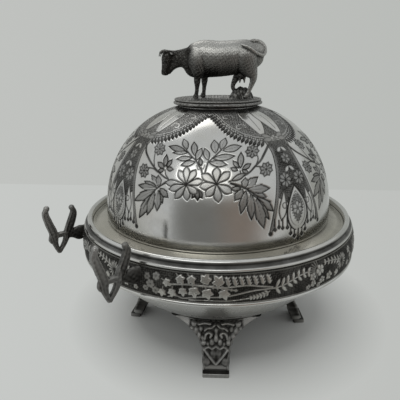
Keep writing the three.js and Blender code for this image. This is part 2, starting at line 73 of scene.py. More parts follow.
right, up, forward = camera_axes(CAMERA_TURN, CAMERA_PITCH, CAMERA_ROLL)
camera_matrix = np.eye(4)
camera_matrix[:3] = np.stack([right, up, -forward, CAMERA_PLACE], axis=1)
camera_data = bpy.data.cameras.new("studio_camera")
camera_data.lens = CAMERA_LENS
camera_data.sensor_width = SENSOR_WIDTH
camera_data.clip_start = 0.01
camera = bpy.data.objects.new("studio_camera", camera_data)
camera.matrix_world = Matrix(camera_matrix.tolist())
bpy.context.scene.collection.objects.link(camera)
bpy.context.scene.camera = camera
print("camera at", CAMERA_PLACE.round(4))

# %% [markdown]
# Every shape below is a grid of points: rows by columns by (x, y, z), in millimetres because
# that is how the dish was measured. One helper turns a grid into a mesh with foreach_set,
# which moves whole arrays at once. It looks at the volume that the faces enclose: if that is
# negative the faces point inwards, and their corners are read the other way round.

# %% From grids of points to meshes
MILLIMETRE = 0.001


def grid_faces(rows, columns, closed_rows=False, closed_columns=False):
    """The four corners of every cell of a grid whose points are numbered row by row."""
    low = np.arange(rows if closed_rows else rows - 1)[:, None]
    left = np.arange(columns if closed_columns else columns - 1)[None, :]
    high = (low + 1) % rows
    next_left = (left + 1) % columns
    corners = [low * columns + left, low * columns + next_left,
               high * columns + next_left, high * columns + left]
    return np.stack([c + 0 * (low + left) for c in corners], axis=-1).reshape(-1, 4)


def enclosed_volume(points, faces):
    """A third of the sum of corner . (edge x edge) / 2 over both triangles of each face."""
    a, b, c, d = (points[faces[:, k]] for k in range(4))
    first = np.einsum("ij,ij->i", a, np.cross(b, c)).sum()
    second = np.einsum("ij,ij->i", a, np.cross(c, d)).sum()
    return (first + second) / 6


def mesh_from(name, points, faces, crease=40.0, **layers):
    """Makes an object from points in millimetres and four-cornered faces, outwards and smooth
    but for edges sharper than `crease` degrees. Each layer is one number for every point."""
    points = np.asarray(points, float).reshape(-1, 3)
    if enclosed_volume(points, faces) < 0:
        faces = faces[:, ::-1]
    mesh = bpy.data.meshes.new(name)
    mesh.vertices.add(len(points))
    mesh.vertices.foreach_set("co", (points * MILLIMETRE).astype(np.float32).ravel())
    mesh.loops.add(faces.size)
    mesh.loops.foreach_set("vertex_index", faces.astype(np.int32).ravel())
    mesh.polygons.add(len(faces))
    mesh.polygons.foreach_set("loop_start", np.arange(0, faces.size, 4, dtype=np.int32))
    mesh.polygons.foreach_set("use_smooth", np.ones(len(faces), bool))
    mesh.update(calc_edges=True)
    for layer, values in layers.items():
        attribute = mesh.attributes.new(layer, "FLOAT", "POINT")
        attribute.data.foreach_set("value", np.asarray(values, np.float32).ravel())
    mesh.validate()
    mesh.set_sharp_from_angle(angle=np.radians(crease))
    piece = bpy.data.objects.new(name, mesh)
    bpy.context.scene.collection.objects.link(piece)
    return piece


def joined(*shells):
    """Several (points, faces) shells as one, with the later shells' faces renumbered."""
    offsets = np.cumsum([0] + [len(points) for points, faces in shells[:-1]])
    points = np.concatenate([points for points, faces in shells])
    faces = np.concatenate([faces + start for (_, faces), start in zip(shells, offsets)])
    return points, faces


print("a grid of 3 by 4 points has", len(grid_faces(3, 4)), "cells")

# %% [markdown]
# A shader is easier to read as a formula than as a chain of nodes. The class below wraps one
# socket, and adding or multiplying two of them puts the Math node into the tree. Colours are
# mixed with Mix nodes, because a Math node would turn them grey.

# %% Shader formulas


class Wire:
    """One output socket that answers to +, -, * and powers with a Math node."""

    def __init__(self, recipe, socket):
        self.recipe = recipe
        self.socket = socket

    def _math(self, operation, first, second):
        made = self.recipe.node("ShaderNodeMath", {"operation": operation},
                                {0: first, 1: second})
        return made.wire("Value")

    def __add__(self, other):
        return self._math("ADD", self, other)

    def __radd__(self, other):
        return self._math("ADD", other, self)

    def __sub__(self, other):
        return self._math("SUBTRACT", self, other)

    def __rsub__(self, other):
        return self._math("SUBTRACT", other, self)

    def __mul__(self, other):
        return self._math("MULTIPLY", self, other)

    def __rmul__(self, other):
        return self._math("MULTIPLY", other, self)

    def __pow__(self, other):
        return self._math("POWER", self, other)

    def within(self, low, high):
        """Brings low..high to 0..1 and holds it there."""
        made = self.recipe.node("ShaderNodeMapRange", {"clamp": True},
                                {"Value": self, "From Min": low, "From Max": high})
        return made.wire("Result")


class Made:
    """A node just added, whose outputs are asked for by name."""

    def __init__(self, recipe, node):
        self.recipe = recipe
        self.node = node

    def wire(self, output):
        return Wire(self.recipe, self.node.outputs[output])


class Recipe:
    """A node tree that is filled with one method."""

    def __init__(self, tree):
        self.tree = tree
        tree.nodes.clear()

    def node(self, kind, settings=None, sockets=None):
        """Adds a node: its settings first, then a number, colour or Wire for each socket."""
        made = self.tree.nodes.new(kind)
        for name, value in (settings or {}).items():
            setattr(made, name, value)
        for name, value in (sockets or {}).items():
            if isinstance(value, Wire):
                self.tree.links.new(value.socket, made.inputs[name])
            else:
                made.inputs[name].default_value = value
        return Made(self, made)

    def mix(self, factor, first, second):
        """A colour between two colours."""
        made = self.node("ShaderNodeMix", {"data_type": "RGBA"},
                         {0: factor, 6: first, 7: second})
        return Wire(self, made.node.outputs[2])

    def noise(self, place, scale, detail, roughness=0.6):
        """Soft random clouds, `scale` of them to a metre."""
        made = self.node("ShaderNodeTexNoise", {}, {"Vector": place, "Scale": scale,
                                                   "Detail": detail, "Roughness": roughness})
        return made.wire("Fac")


def recipe_for(name):
    """A new material and the recipe for its nodes."""
    material = bpy.data.materials.new(name)
    material.use_nodes = True
    return material, Recipe(material.node_tree)


def colour(red, green, blue):
    """A linear colour as the nodes want it, with full cover."""
    return (red, green, blue, 1.0)


print("shader formulas ready")

# %% [markdown]
# The dish stands on a pale table with a pale wall well behind it. Both are real sheets, so
# that the metal mirrors them. The table ends behind the dish where the photograph's faint line
# is, and in front just outside the picture, so the polished front of the dish mirrors the
# room, which is dim where a camera would stand. A broad window panel in front makes the soft
# bright patch on the dome, and a ceiling panel behind throws the shadow down and a little to
# the front. Under and beside the dish the table is lit and shadowed like any paper, and its
# colour there is painted darker, a painted shadow over the real one. Further off it shows its
# plain pale tone to the camera and to the mirrors, painted lighter to the left and darker to
# the right, so the background stays nearly even. Where the camera looks past both sheets, the
# room shows it the same tone.

# %% The table and the wall
TABLE_HEIGHT = -20.4
TABLE_FRONT = -170.0
TABLE_BACK = 332.0
WALL_DISTANCE = 1500.0
WALL_FOOT_HEIGHT = -700.0
WALL_TOP_HEIGHT = 1250.0
TABLE_HALF_WIDTH = 2600.0
WALL_HALF_WIDTH = 6000.0
ROOM_TURN = -0.0415
# Painted shadow: near the dish the paper is coloured darker than its plain tone further off.
SHADOW_PAINTED_TONES = colour(0.472, 0.476, 0.466), colour(0.492, 0.496, 0.486)
# Painted light: the far table and wall are lighter to the left and darker to the right.
FAR_TABLE_PAINTED_FALLOFF = colour(0.568, 0.584, 0.568), colour(0.505, 0.518, 0.500)
FAR_WALL_PAINTED_FALLOFF = colour(0.530, 0.542, 0.524), colour(0.478, 0.494, 0.474)
EYE_DISTANCE = 0.30
SHADOW_MIDDLE = (0.006, 0.028)
SHADOW_EDGE = (0.068, 0.116)


def flat_sheet(half_width, near, far):
    """A sheet of two rows of points: each of near and far is its distance back and its height,
    and both run sideways, turned a little about the vertical as in the photograph."""
    sideways = np.linspace(-half_width, half_width, 3)
    rows = [np.stack([sideways, back + ROOM_TURN * sideways, np.full(3, height)], axis=-1)
            for back, height in (near, far)]
    return np.array(rows)


table_points = flat_sheet(TABLE_HALF_WIDTH, (TABLE_FRONT, TABLE_HEIGHT),
                          (TABLE_BACK, TABLE_HEIGHT))
wall_points = flat_sheet(WALL_HALF_WIDTH, (WALL_DISTANCE, WALL_FOOT_HEIGHT),
                         (WALL_DISTANCE, WALL_TOP_HEIGHT))
sheet_faces = grid_faces(2, 3)
backdrop = mesh_from("pale_backdrop",
                     np.concatenate([table_points.reshape(-1, 3), wall_points.reshape(-1, 3)]),
                     np.concatenate([sheet_faces, sheet_faces + 6]))

paper, recipe = recipe_for("pale_paper")
place = recipe.node("ShaderNodeTexCoord").wire("Object")
cloudy = recipe.noise(place, 1.3, 2.0).within(0.3, 0.7)
parts = recipe.node("ShaderNodeSeparateXYZ", {}, {0: place})
sideways, depth = parts.wire("X"), parts.wire("Y")
to_the_right = (sideways * (depth + EYE_DISTANCE) ** -1.0).within(-0.6, 0.6)
on_wall = depth.within(0.80, 0.90)
shadow_painted_tone = recipe.mix(cloudy, *SHADOW_PAINTED_TONES)
far_table = recipe.mix(to_the_right, *FAR_TABLE_PAINTED_FALLOFF)
far_wall = recipe.mix(to_the_right, *FAR_WALL_PAINTED_FALLOFF)
far_tone = recipe.mix(on_wall, far_table, far_wall)
lit = recipe.node("ShaderNodeBsdfPrincipled", {}, {"Base Color": shadow_painted_tone, "Roughness": 0.65})
pale = recipe.node("ShaderNodeEmission", {}, {"Color": far_tone, "Strength": 1.0})
ray = recipe.node("ShaderNodeLightPath")
seen = ray.wire("Is Camera Ray") + ray.wire("Is Glossy Ray")
beside, beyond = sideways - SHADOW_MIDDLE[0], depth - SHADOW_MIDDLE[1]
from_shadow = (beside * beside + beyond * beyond) ** 0.5
far_away = from_shadow.within(*SHADOW_EDGE)
sheet = recipe.node("ShaderNodeMixShader", {}, {"Fac": (seen * far_away).within(0.0, 1.0)})
recipe.tree.links.new(lit.node.outputs["BSDF"], sheet.node.inputs[1])
recipe.tree.links.new(pale.node.outputs["Emission"], sheet.node.inputs[2])
output = recipe.node("ShaderNodeOutputMaterial")
recipe.tree.links.new(sheet.node.outputs["Shader"], output.node.inputs["Surface"])
backdrop.data.materials.append(paper)
print("backdrop", len(backdrop.data.polygons), "faces")

# %% The lamps


def soft_panel(name, place, target, size, power, tint):
    """A lamp of width and height `size` at `place`, turned so that its -Z looks at `target`."""
    lamp = bpy.data.lights.new(name, "AREA")
    lamp.shape = "RECTANGLE"
    lamp.size, lamp.size_y = size
    lamp.energy = power
    lamp.color = tint
    panel = bpy.data.objects.new(name, lamp)
    back = np.array(place, float) - np.array(target, float)
    back /= np.linalg.norm(back)
    side = np.cross([0.0, 0.0, 1.0], back)
    side /= np.linalg.norm(side)
    matrix = np.eye(4)
    matrix[:3] = np.stack([side, np.cross(back, side), back, np.array(place, float)], axis=1)
    panel.matrix_world = Matrix(matrix.tolist())
    bpy.context.scene.collection.objects.link(panel)


soft_panel("window_panel", place=(-0.24, -0.77, 0.83), target=(0, -0.04, 0.10),
           size=(0.95, 0.40), power=1.8, tint=(1.0, 1.0, 0.98))
soft_panel("ceiling_panel", place=(-0.34, 0.62, 1.20), target=(0, 0, 0.05),
           size=(0.8, 0.5), power=2.0, tint=(1.0, 0.99, 0.97))
print("lamps", sorted(lamp.name for lamp in bpy.data.lights))

# %% The room
ROOM_TONE = colour(0.72, 0.735, 0.735)
DIM_TONES = colour(0.235, 0.235, 0.225), colour(0.300, 0.255, 0.225)
BACKGROUND_TONE = colour(0.505, 0.517, 0.500)

world = bpy.data.worlds.new("grey_room")
bpy.context.scene.world = world
world.use_nodes = True
recipe = Recipe(world.node_tree)
towards = recipe.node("ShaderNodeTexCoord").wire("Generated")
parts = recipe.node("ShaderNodeSeparateXYZ", {}, {0: towards})
sideways, depth, climb = (parts.wire(axis) for axis in "XYZ")
in_front = (0 - depth).within(0.45, 0.85)
low_down = (0.42 - climb).within(0.0, 0.14)
past_the_door = (sideways + 0.72).within(0.0, 0.06)
warmth = (sideways + 0.1).within(0.0, 0.4)
dim_room = recipe.mix(warmth, *DIM_TONES)
shade = in_front * low_down * past_the_door
room_tone = recipe.mix(shade, ROOM_TONE, dim_room)
ray = recipe.node("ShaderNodeLightPath")
shown_tone = recipe.mix(ray.wire("Is Camera Ray"), room_tone, BACKGROUND_TONE)
lit = recipe.node("ShaderNodeBackground", {}, {"Color": shown_tone, "Strength": 1.0})
output = recipe.node("ShaderNodeOutputWorld")
recipe.tree.links.new(lit.node.outputs["Background"], output.node.inputs["Surface"])
print("room", world.name, "has", len(world.node_tree.nodes), "nodes")

# %% [markdown]
# Old silver plate is bright where it is rubbed and nearly black where it is not: the polish
# never reaches the bottom of the engraving, the stippled grounds and the folds of the
# castings. The meshes therefore carry a number for every point, for its tarnish, that is 0 on
# rubbed metal and 1 in the dark; a mesh without it is rubbed all over. On the bowl, the rim,
# the flange, the feet and the cow the same number also carries painted shade, painted
# highlights and painted reflections. One recipe turns it into colour and gloss. It also lays a
# faint yellowish bloom, soft clouds of tarnish and a fine unevenness over everything.

# %% Silver recipes
BRIGHT = colour(0.565, 0.565, 0.55)
BLOOM = colour(0.44, 0.41, 0.345)
DARK = colour(0.022, 0.021, 0.019)
FILM_SCALE = 34.0
CLOUD_SCALE = 110.0
GRAIN_SCALE = 1500.0
CLOUD_TARNISH = 0.18
CLEAR_OF_CLOUD = 0.065


def silver(name, bright=BRIGHT, *, gloss, grain=0.06, bloom=0.5):
    """Rubbed silver over oxide. Gloss is the roughness of a rubbed place, grain the strength
    of the fine unevenness, and bloom how far the yellowish film spreads."""
    material, recipe = recipe_for(name)
    place = recipe.node("ShaderNodeTexCoord").wire("Object")
    film = recipe.noise(place, FILM_SCALE, 3.0).within(0.42, 0.75) * bloom
    cloud = recipe.noise(place, CLOUD_SCALE, 4.0).within(0.30, 0.75)
    fine = recipe.noise(place, GRAIN_SCALE, 3.0, 0.7)
    rubbed = recipe.mix(film, bright, BLOOM)
    # The number read here is tarnish, and on some pieces also painted shade, highlights and
    # reflections.
    oxide_and_painted_light = recipe.node("ShaderNodeAttribute", {"attribute_name": "tarnish"}).wire("Fac")
    tone = (oxide_and_painted_light + cloud * CLOUD_TARNISH - CLEAR_OF_CLOUD).within(0.0, 1.0)
    base = recipe.mix(tone, rubbed, DARK)
    rough = gloss + cloud * 0.06 + tone * 0.36
    bump = recipe.node("ShaderNodeBump", {}, {"Strength": grain, "Distance": 0.0002,
                                              "Height": fine})
    surface = recipe.node("ShaderNodeBsdfPrincipled", {},
                          {"Base Color": base, "Metallic": 1.0, "Roughness": rough,
                           "Normal": bump.wire("Normal")})
    output = recipe.node("ShaderNodeOutputMaterial")
    recipe.tree.links.new(surface.node.outputs["BSDF"], output.node.inputs["Surface"])
    return material


polished_silver = silver("polished_silver", gloss=0.12)
# A darker yellowish copy of the plate silver for the flange: a painted reflection of the dome's
# foot in it.
flange_reflection_silver = silver("flange_reflection_silver", colour(0.46, 0.44, 0.385), gloss=0.13, bloom=0.4)
brushed_silver = silver("brushed_silver", gloss=0.24, grain=0.12)
engraved_silver = silver("engraved_silver", gloss=0.15, grain=0.10)
stamped_silver = silver("stamped_silver", colour(0.47, 0.464, 0.44), gloss=0.25, grain=0.15)
cast_silver = silver("cast_silver", colour(0.33, 0.327, 0.315), gloss=0.28, grain=0.22,
                     bloom=0.3)
hide_silver = silver("hide_silver", colour(0.42, 0.418, 0.40), gloss=0.20, grain=0.60,
                     bloom=0.2)
plain_steel = silver("plain_steel", colour(0.56, 0.56, 0.57), gloss=0.3, grain=0.2, bloom=0.1)


def dress(piece, material, body, slot, *nodes):
    """Gives a piece its finish and its body, and hides the nodes it stands for. `slot` is not
    used.
    """
    piece.data.materials.append(material)
    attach(piece, body)
    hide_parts(*nodes)
    print(piece.name, len(piece.data.polygons), "faces")


print("finishes:", polished_silver.name, engraved_silver.name, stamped_silver.name)

# %% [markdown]
# Turned pieces first. A turned piece is its section, a closed outline of (radius, height),
# carried round the axis: x = r sin a, y = -r cos a. Sharp corners catch no light, so those of
# the bowl's wall and of the flange are first eased into short parabolas.

# %% Turning a section
AROUND = 256
EASE = 0.3
EASE_STEPS = 4


def eased(corners):
    """Each corner p becomes (1-t)(1-t) a + 2 t (1-t) p + t t b, where a and b lie on the two
    sides beside it, EASE away or 45 percent of the side."""
    p = np.array(corners, float)
    back = np.roll(p, 1, axis=0) - p
    ahead = np.roll(p, -1, axis=0) - p
    back_length = np.linalg.norm(back, axis=1, keepdims=True)
    ahead_length = np.linalg.norm(ahead, axis=1, keepdims=True)
    a = p + back / back_length * np.minimum(EASE, 0.45 * back_length)
    b = p + ahead / ahead_length * np.minimum(EASE, 0.45 * ahead_length)
    t = np.linspace(0, 1, EASE_STEPS)[None, :, None]
    curve = (1 - t) ** 2 * a[:, None] + 2 * t * (1 - t) * p[:, None] + t ** 2 * b[:, None]
    return curve.reshape(-1, 2)


def full_turn(steps):
    """Evenly spaced angles once round, in radians."""
    return np.arange(steps) / steps * 2 * np.pi


def turned(section):
    """A closed section carried round the Z axis as (points, faces)."""
    section = np.asarray(section, float)
    angle = full_turn(AROUND)
    grid = np.empty((len(section), AROUND, 3))
    grid[..., 0] = section[:, :1] * np.sin(angle)
    grid[..., 1] = -section[:, :1] * np.cos(angle)
    grid[..., 2] = section[:, 1:]
    return grid.reshape(-1, 3), grid_faces(len(section), AROUND, True, True)


def circle_arc(centre, radius, start, end, steps):
    """Points (cx + R cos a, cz + R sin a), the angles in degrees."""
    a = np.radians(np.linspace(start, end, steps))
    return np.stack([centre[0] + radius * np.cos(a), centre[1] + radius * np.sin(a)], axis=-1)


print("an eased square has", len(eased([(1, 0), (2, 0), (2, 1), (1, 1)])), "points")

# %% Sizes of the dish that the pieces share
SHEET = 1.2
GAP = 0.1
NEAR_AXIS = 0.02
WALL_RADIUS = 82.4
WALL_FOOT = 41.256
WALL_TOP = 58.056
BOWL_CURVE = 92.0
BOWL_CENTRE = 88.538
UNDERSIDE_RADIUS = 25.0
BODY_RADIUS = 78.8
RIM_HEIGHT = 5.5
SEAT_DROP = 2.0
LEDGE_DROP = 3.6
RIM_BOTTOM = WALL_TOP + GAP
RIM_TOP = RIM_BOTTOM + RIM_HEIGHT
SEAT_HEIGHT = RIM_TOP - SEAT_DROP
LEDGE_HEIGHT = SEAT_HEIGHT - LEDGE_DROP
DOME_BASE = SEAT_HEIGHT + GAP
DOME_RADIUS = 69.6
DOME_HEIGHT = 68.2
DOME_POWER = 2.3
COLLAR_RISE = 0.6
PLINTH_EDGE = 1.2
COLLAR_TOP = DOME_BASE + DOME_HEIGHT + COLLAR_RISE
PLINTH_BOTTOM = COLLAR_TOP + GAP
PLINTH_TOP = PLINTH_BOTTOM + PLINTH_EDGE
print("the rim is", round(RIM_TOP, 2), "mm over the bowl's underside")

# %% [markdown]
# The bowl is spun from one sheet: a flat circle underneath, a body that follows a sphere, a
# small shoulder and an upright wall. Its middle is closed by letting the section run to a
# radius of almost nothing. Its colour is painted darker on the body's underside and under the
# band, a painted shade, and along one faint band round the middle, a painted dark reflection.

# %% The bowl


def bowl_arc(offset, start_radius, end_radius, steps):
    """Points on the sphere of radius BOWL_CURVE + offset, between two distances from the
    axis."""
    curve = BOWL_CURVE + offset
    a = np.linspace(np.arcsin(start_radius / curve), np.arcsin(end_radius / curve), steps)
    return np.stack([curve * np.sin(a), BOWL_CENTRE - curve * np.cos(a)], axis=-1)


inner_wall = WALL_RADIUS - SHEET
wall_corners = [(BODY_RADIUS + 1.2, WALL_FOOT), (WALL_RADIUS, WALL_FOOT), (WALL_RADIUS, WALL_TOP),
                (inner_wall, WALL_TOP), (inner_wall, WALL_FOOT + SHEET)]
bowl_section = np.concatenate([
    [(NEAR_AXIS, 0.0), (UNDERSIDE_RADIUS - 2, 0.0)],
    bowl_arc(0, UNDERSIDE_RADIUS + 1, BODY_RADIUS, 40),
    eased(wall_corners)[EASE_STEPS:],
    bowl_arc(-SHEET, BODY_RADIUS - SHEET, UNDERSIDE_RADIUS, 30),
    [(NEAR_AXIS, SHEET)],
])
height = bowl_section[:, 1]
# Painted shade on the underside and under the band, and a painted dark reflection round the
# middle.
shade_painted_below = 0.72 * np.clip((19 - height) / 6, 0, 1)
dark_reflection_band = 0.22 * np.clip(1 - np.abs(height - 24) / 3, 0, 1)
shade_painted_under_band = 0.22 * np.clip((height - 35) / 4, 0, 1)
bowl = mesh_from("spun_bowl", *turned(bowl_section), crease=50,
                 tarnish=np.repeat(shade_painted_below + dark_reflection_band + shade_painted_under_band, AROUND))
dress(bowl, brushed_silver, "base", "silver_plate", "bowl")

# %% The wire under the band
WIRE_RADIUS = 1.2
wire_centre = (WALL_RADIUS + GAP + WIRE_RADIUS, WALL_FOOT + WIRE_RADIUS / 4)
wire = mesh_from("foot_wire", *turned(circle_arc(wire_centre, WIRE_RADIUS, -180, 165, 20)))
dress(wire, polished_silver, "base", "silver_plate", "base_wire")

# %% [markdown]
# The rim is a small bead with a thicker roll above it and nearer the axis. On the outer side
# the hollow between them has kept its tarnish, and the lower half of the roll over it is
# painted dark, a painted reflection of the dim room. Inside the rim a flange falls outwards
# from the cover's seat to a gutter. It is painted darkest beside the dome and darker again at
# the gutter, with a painted highlight ring in its middle, and painted lighter towards the
# front and the left of the dish, a painted reflection.

# %% The rim moulding
BEAD_RADIUS = 1.0
ROLL_RADIUS = 1.5
ROLL_INSET = 2.3

bead_centre = (WALL_RADIUS + GAP, RIM_BOTTOM + BEAD_RADIUS)
roll_centre = (WALL_RADIUS + GAP - ROLL_INSET, RIM_TOP - ROLL_RADIUS)
rim_section = np.concatenate([
    [(roll_centre[0] - ROLL_RADIUS, RIM_BOTTOM)],
    circle_arc(bead_centre, BEAD_RADIUS, -90, 80, 14),
    [(roll_centre[0] + 1.30, 0.5 * (bead_centre[1] + roll_centre[1]) + 0.3)],
    circle_arc(roll_centre, ROLL_RADIUS, -30, 180, 22),
])
over_roll = rim_section[:, 1] - roll_centre[1]
outer_side = rim_section[:, 0] > roll_centre[0]
# Oxide in the hollow, and over it a painted dark reflection on the roll's lower outer face.
hollow = np.clip((0.8 - over_roll) / 0.7, 0, 1) * np.clip((over_roll + 2.4) / 0.4, 0, 1)
rim = mesh_from("rolled_rim", *turned(rim_section), crease=50,
                tarnish=np.repeat(0.85 * (hollow * outer_side), AROUND))
dress(rim, polished_silver, "base", "silver_plate", "rim_moulding")

# %% The flange inside the rim
LEDGE_INNER = 60.5
SEAT_INNER = 66.6
SEAT_OUTER = 70.5
GUTTER_DROP = 1.8
GUTTER_WIDTH = 1.3
SLOPE_STEPS = 6
RING_RADII = (70.5, 72.4, 74.2, 75.2, 77.3, 78.6)
# Painted shade beside the dome and at the gutter, and a painted highlight ring at 74.2 mm.
RING_SHADE_AND_HIGHLIGHT = (0.55, 0.30, 0.02, 0.28, 0.22, 0.5)

flange_outer = roll_centre[0] - ROLL_RADIUS - GAP
gutter_height = SEAT_HEIGHT - GUTTER_DROP
slope = zip(np.linspace(SEAT_OUTER, flange_outer - GUTTER_WIDTH, SLOPE_STEPS),
            np.linspace(SEAT_HEIGHT, gutter_height, SLOPE_STEPS))
flange_top = [(LEDGE_INNER, LEDGE_HEIGHT), (SEAT_INNER, LEDGE_HEIGHT), (SEAT_INNER, SEAT_HEIGHT),
              *slope, (flange_outer, gutter_height)]
flange_under = [(r + (SHEET if r == SEAT_INNER else 0), z - SHEET) for r, z in flange_top]
flange_section = eased(flange_under + flange_top[::-1])
rings = np.interp(flange_section[:, :1], RING_RADII, RING_SHADE_AND_HIGHLIGHT)
turn = full_turn(AROUND)
# Painted reflection: lightest at the front of the dish, lighter on the left, darkest at the back.
side_light_and_patches = 0.72 + 0.2 * np.sin(turn) - 0.62 * np.cos(turn) + 0.15 * np.sin(7 * turn + 1.0)
flange = mesh_from("sloping_flange", *turned(flange_section), crease=50, tarnish=rings * side_light_and_patches)
dress(flange, flange_reflection_silver, "base", "silver_plate", "flange_ring")

# %% [markdown]
# The dome is engraved all round: garlands hang from its neck to four knots, a fringed drapery
# hangs from each knot, and a spray of flowers fills each of the four panels between them. An
# engraver's cut is a groove with dark in it, so the drawing below makes two numbers for every
# point of the surface, how dark it is and how deep. It works on flat coordinates: x to the
# right and y downwards, in millimetres along the metal. A distance to a line or to the edge of
# a petal says which points a cut covers, and a later petal wipes out what lies under it.

# %% Tools for drawing on metal
SOFT = 0.34


def smooth_path(points, steps=8):
    """A Catmull-Rom curve through the points: each stretch is the cubic through its two ends
    whose slopes there are half the difference of the neighbours."""
    p = np.array(points, float)
    if len(p) == 2:
        return p
    p = np.concatenate([2 * p[:1] - p[1:2], p, 2 * p[-1:] - p[-2:-1]])
    t = np.linspace(0, 1, steps, endpoint=False)[None, :, None]
    a, b, c, d = (p[k:len(p) - 3 + k, None] for k in range(4))
    curve = 0.5 * (2 * b + (c - a) * t + (2 * a - 5 * b + 4 * c - d) * t ** 2
                   + (3 * b - a - 3 * c + d) * t ** 3)
    return np.concatenate([curve.reshape(-1, p.shape[1]), p[-2:-1]])


def lengths_along(path):
    """How far along a path each of its points lies."""
    return np.concatenate([[0], np.cumsum(np.hypot(*np.diff(path, axis=0).T))])


def nearest_on(path, x, y):
    """The distance from each point (x, y) to a path, and the share of the path's stretches
    that lie before the place nearest to it."""
    start, step = path[:-1], np.diff(path, axis=0)
    across = x[:, None] - start[:, 0], y[:, None] - start[:, 1]
    share = (across[0] * step[:, 0] + across[1] * step[:, 1]) / (step ** 2).sum(axis=1)
    share = np.clip(share, 0, 1)
    gap = np.hypot(across[0] - share * step[:, 0], across[1] - share * step[:, 1])
    nearest = gap.argmin(axis=1)
    rows = np.arange(len(x))
    return gap[rows, nearest], (nearest + share[rows, nearest]) / len(step)


def bulge(share, peak):
    """sin(pi a^k) at a share a of a leaf's length, with k set so that it is 1 at `peak`."""
    return np.sin(np.pi * share ** (np.log(0.5) / np.log(peak)))


def cover(inside):
    """One where a distance is well inside, zero where it is well outside, soft between."""
    return np.clip(inside / SOFT + 0.5, 0, 1)


def scatter(first, second, seed):
    """A fixed fraction for each pair of whole numbers: the fractional part of a large sine."""
    value = np.sin(first * 127.1 + second * 311.7 + seed * 74.7) * 43758.5453
    return value - np.floor(value)


def dots(x, y, pitch, size, seed=1):
    """One round dot in each square of side `pitch`, pushed off its centre at random."""
    i, j = np.floor(x / pitch), np.floor(y / pitch)
    u = x / pitch - i - 0.3 - 0.4 * scatter(i, j, seed)
    v = y / pitch - j - 0.3 - 0.4 * scatter(i, j, seed + 9)
    return cover(size / 2 - pitch * np.hypot(u, v))


class Drawing:
    """A surface laid flat: (x, y) in millimetres for every point of it."""

    def __init__(self, x, y):
        self.x, self.y = x.ravel(), y.ravel()

    def near(self, path, margin):
        """The points within a margin of the box round a path."""
        low, high = path.min(axis=0) - margin, path.max(axis=0) + margin
        return np.flatnonzero((self.x > low[0]) & (self.x < high[0])
                              & (self.y > low[1]) & (self.y < high[1]))

    def beside(self, near, base, tip):
        """For the points `near`, their share of the way from base to tip and their distance
        to the line through both."""
        axis = tip - base
        length = np.hypot(*axis)
        dx, dy = self.x[near] - base[0], self.y[near] - base[1]
        share = (dx * axis[0] + dy * axis[1]) / length ** 2
        return share, np.abs(dx * axis[1] - dy * axis[0]) / length


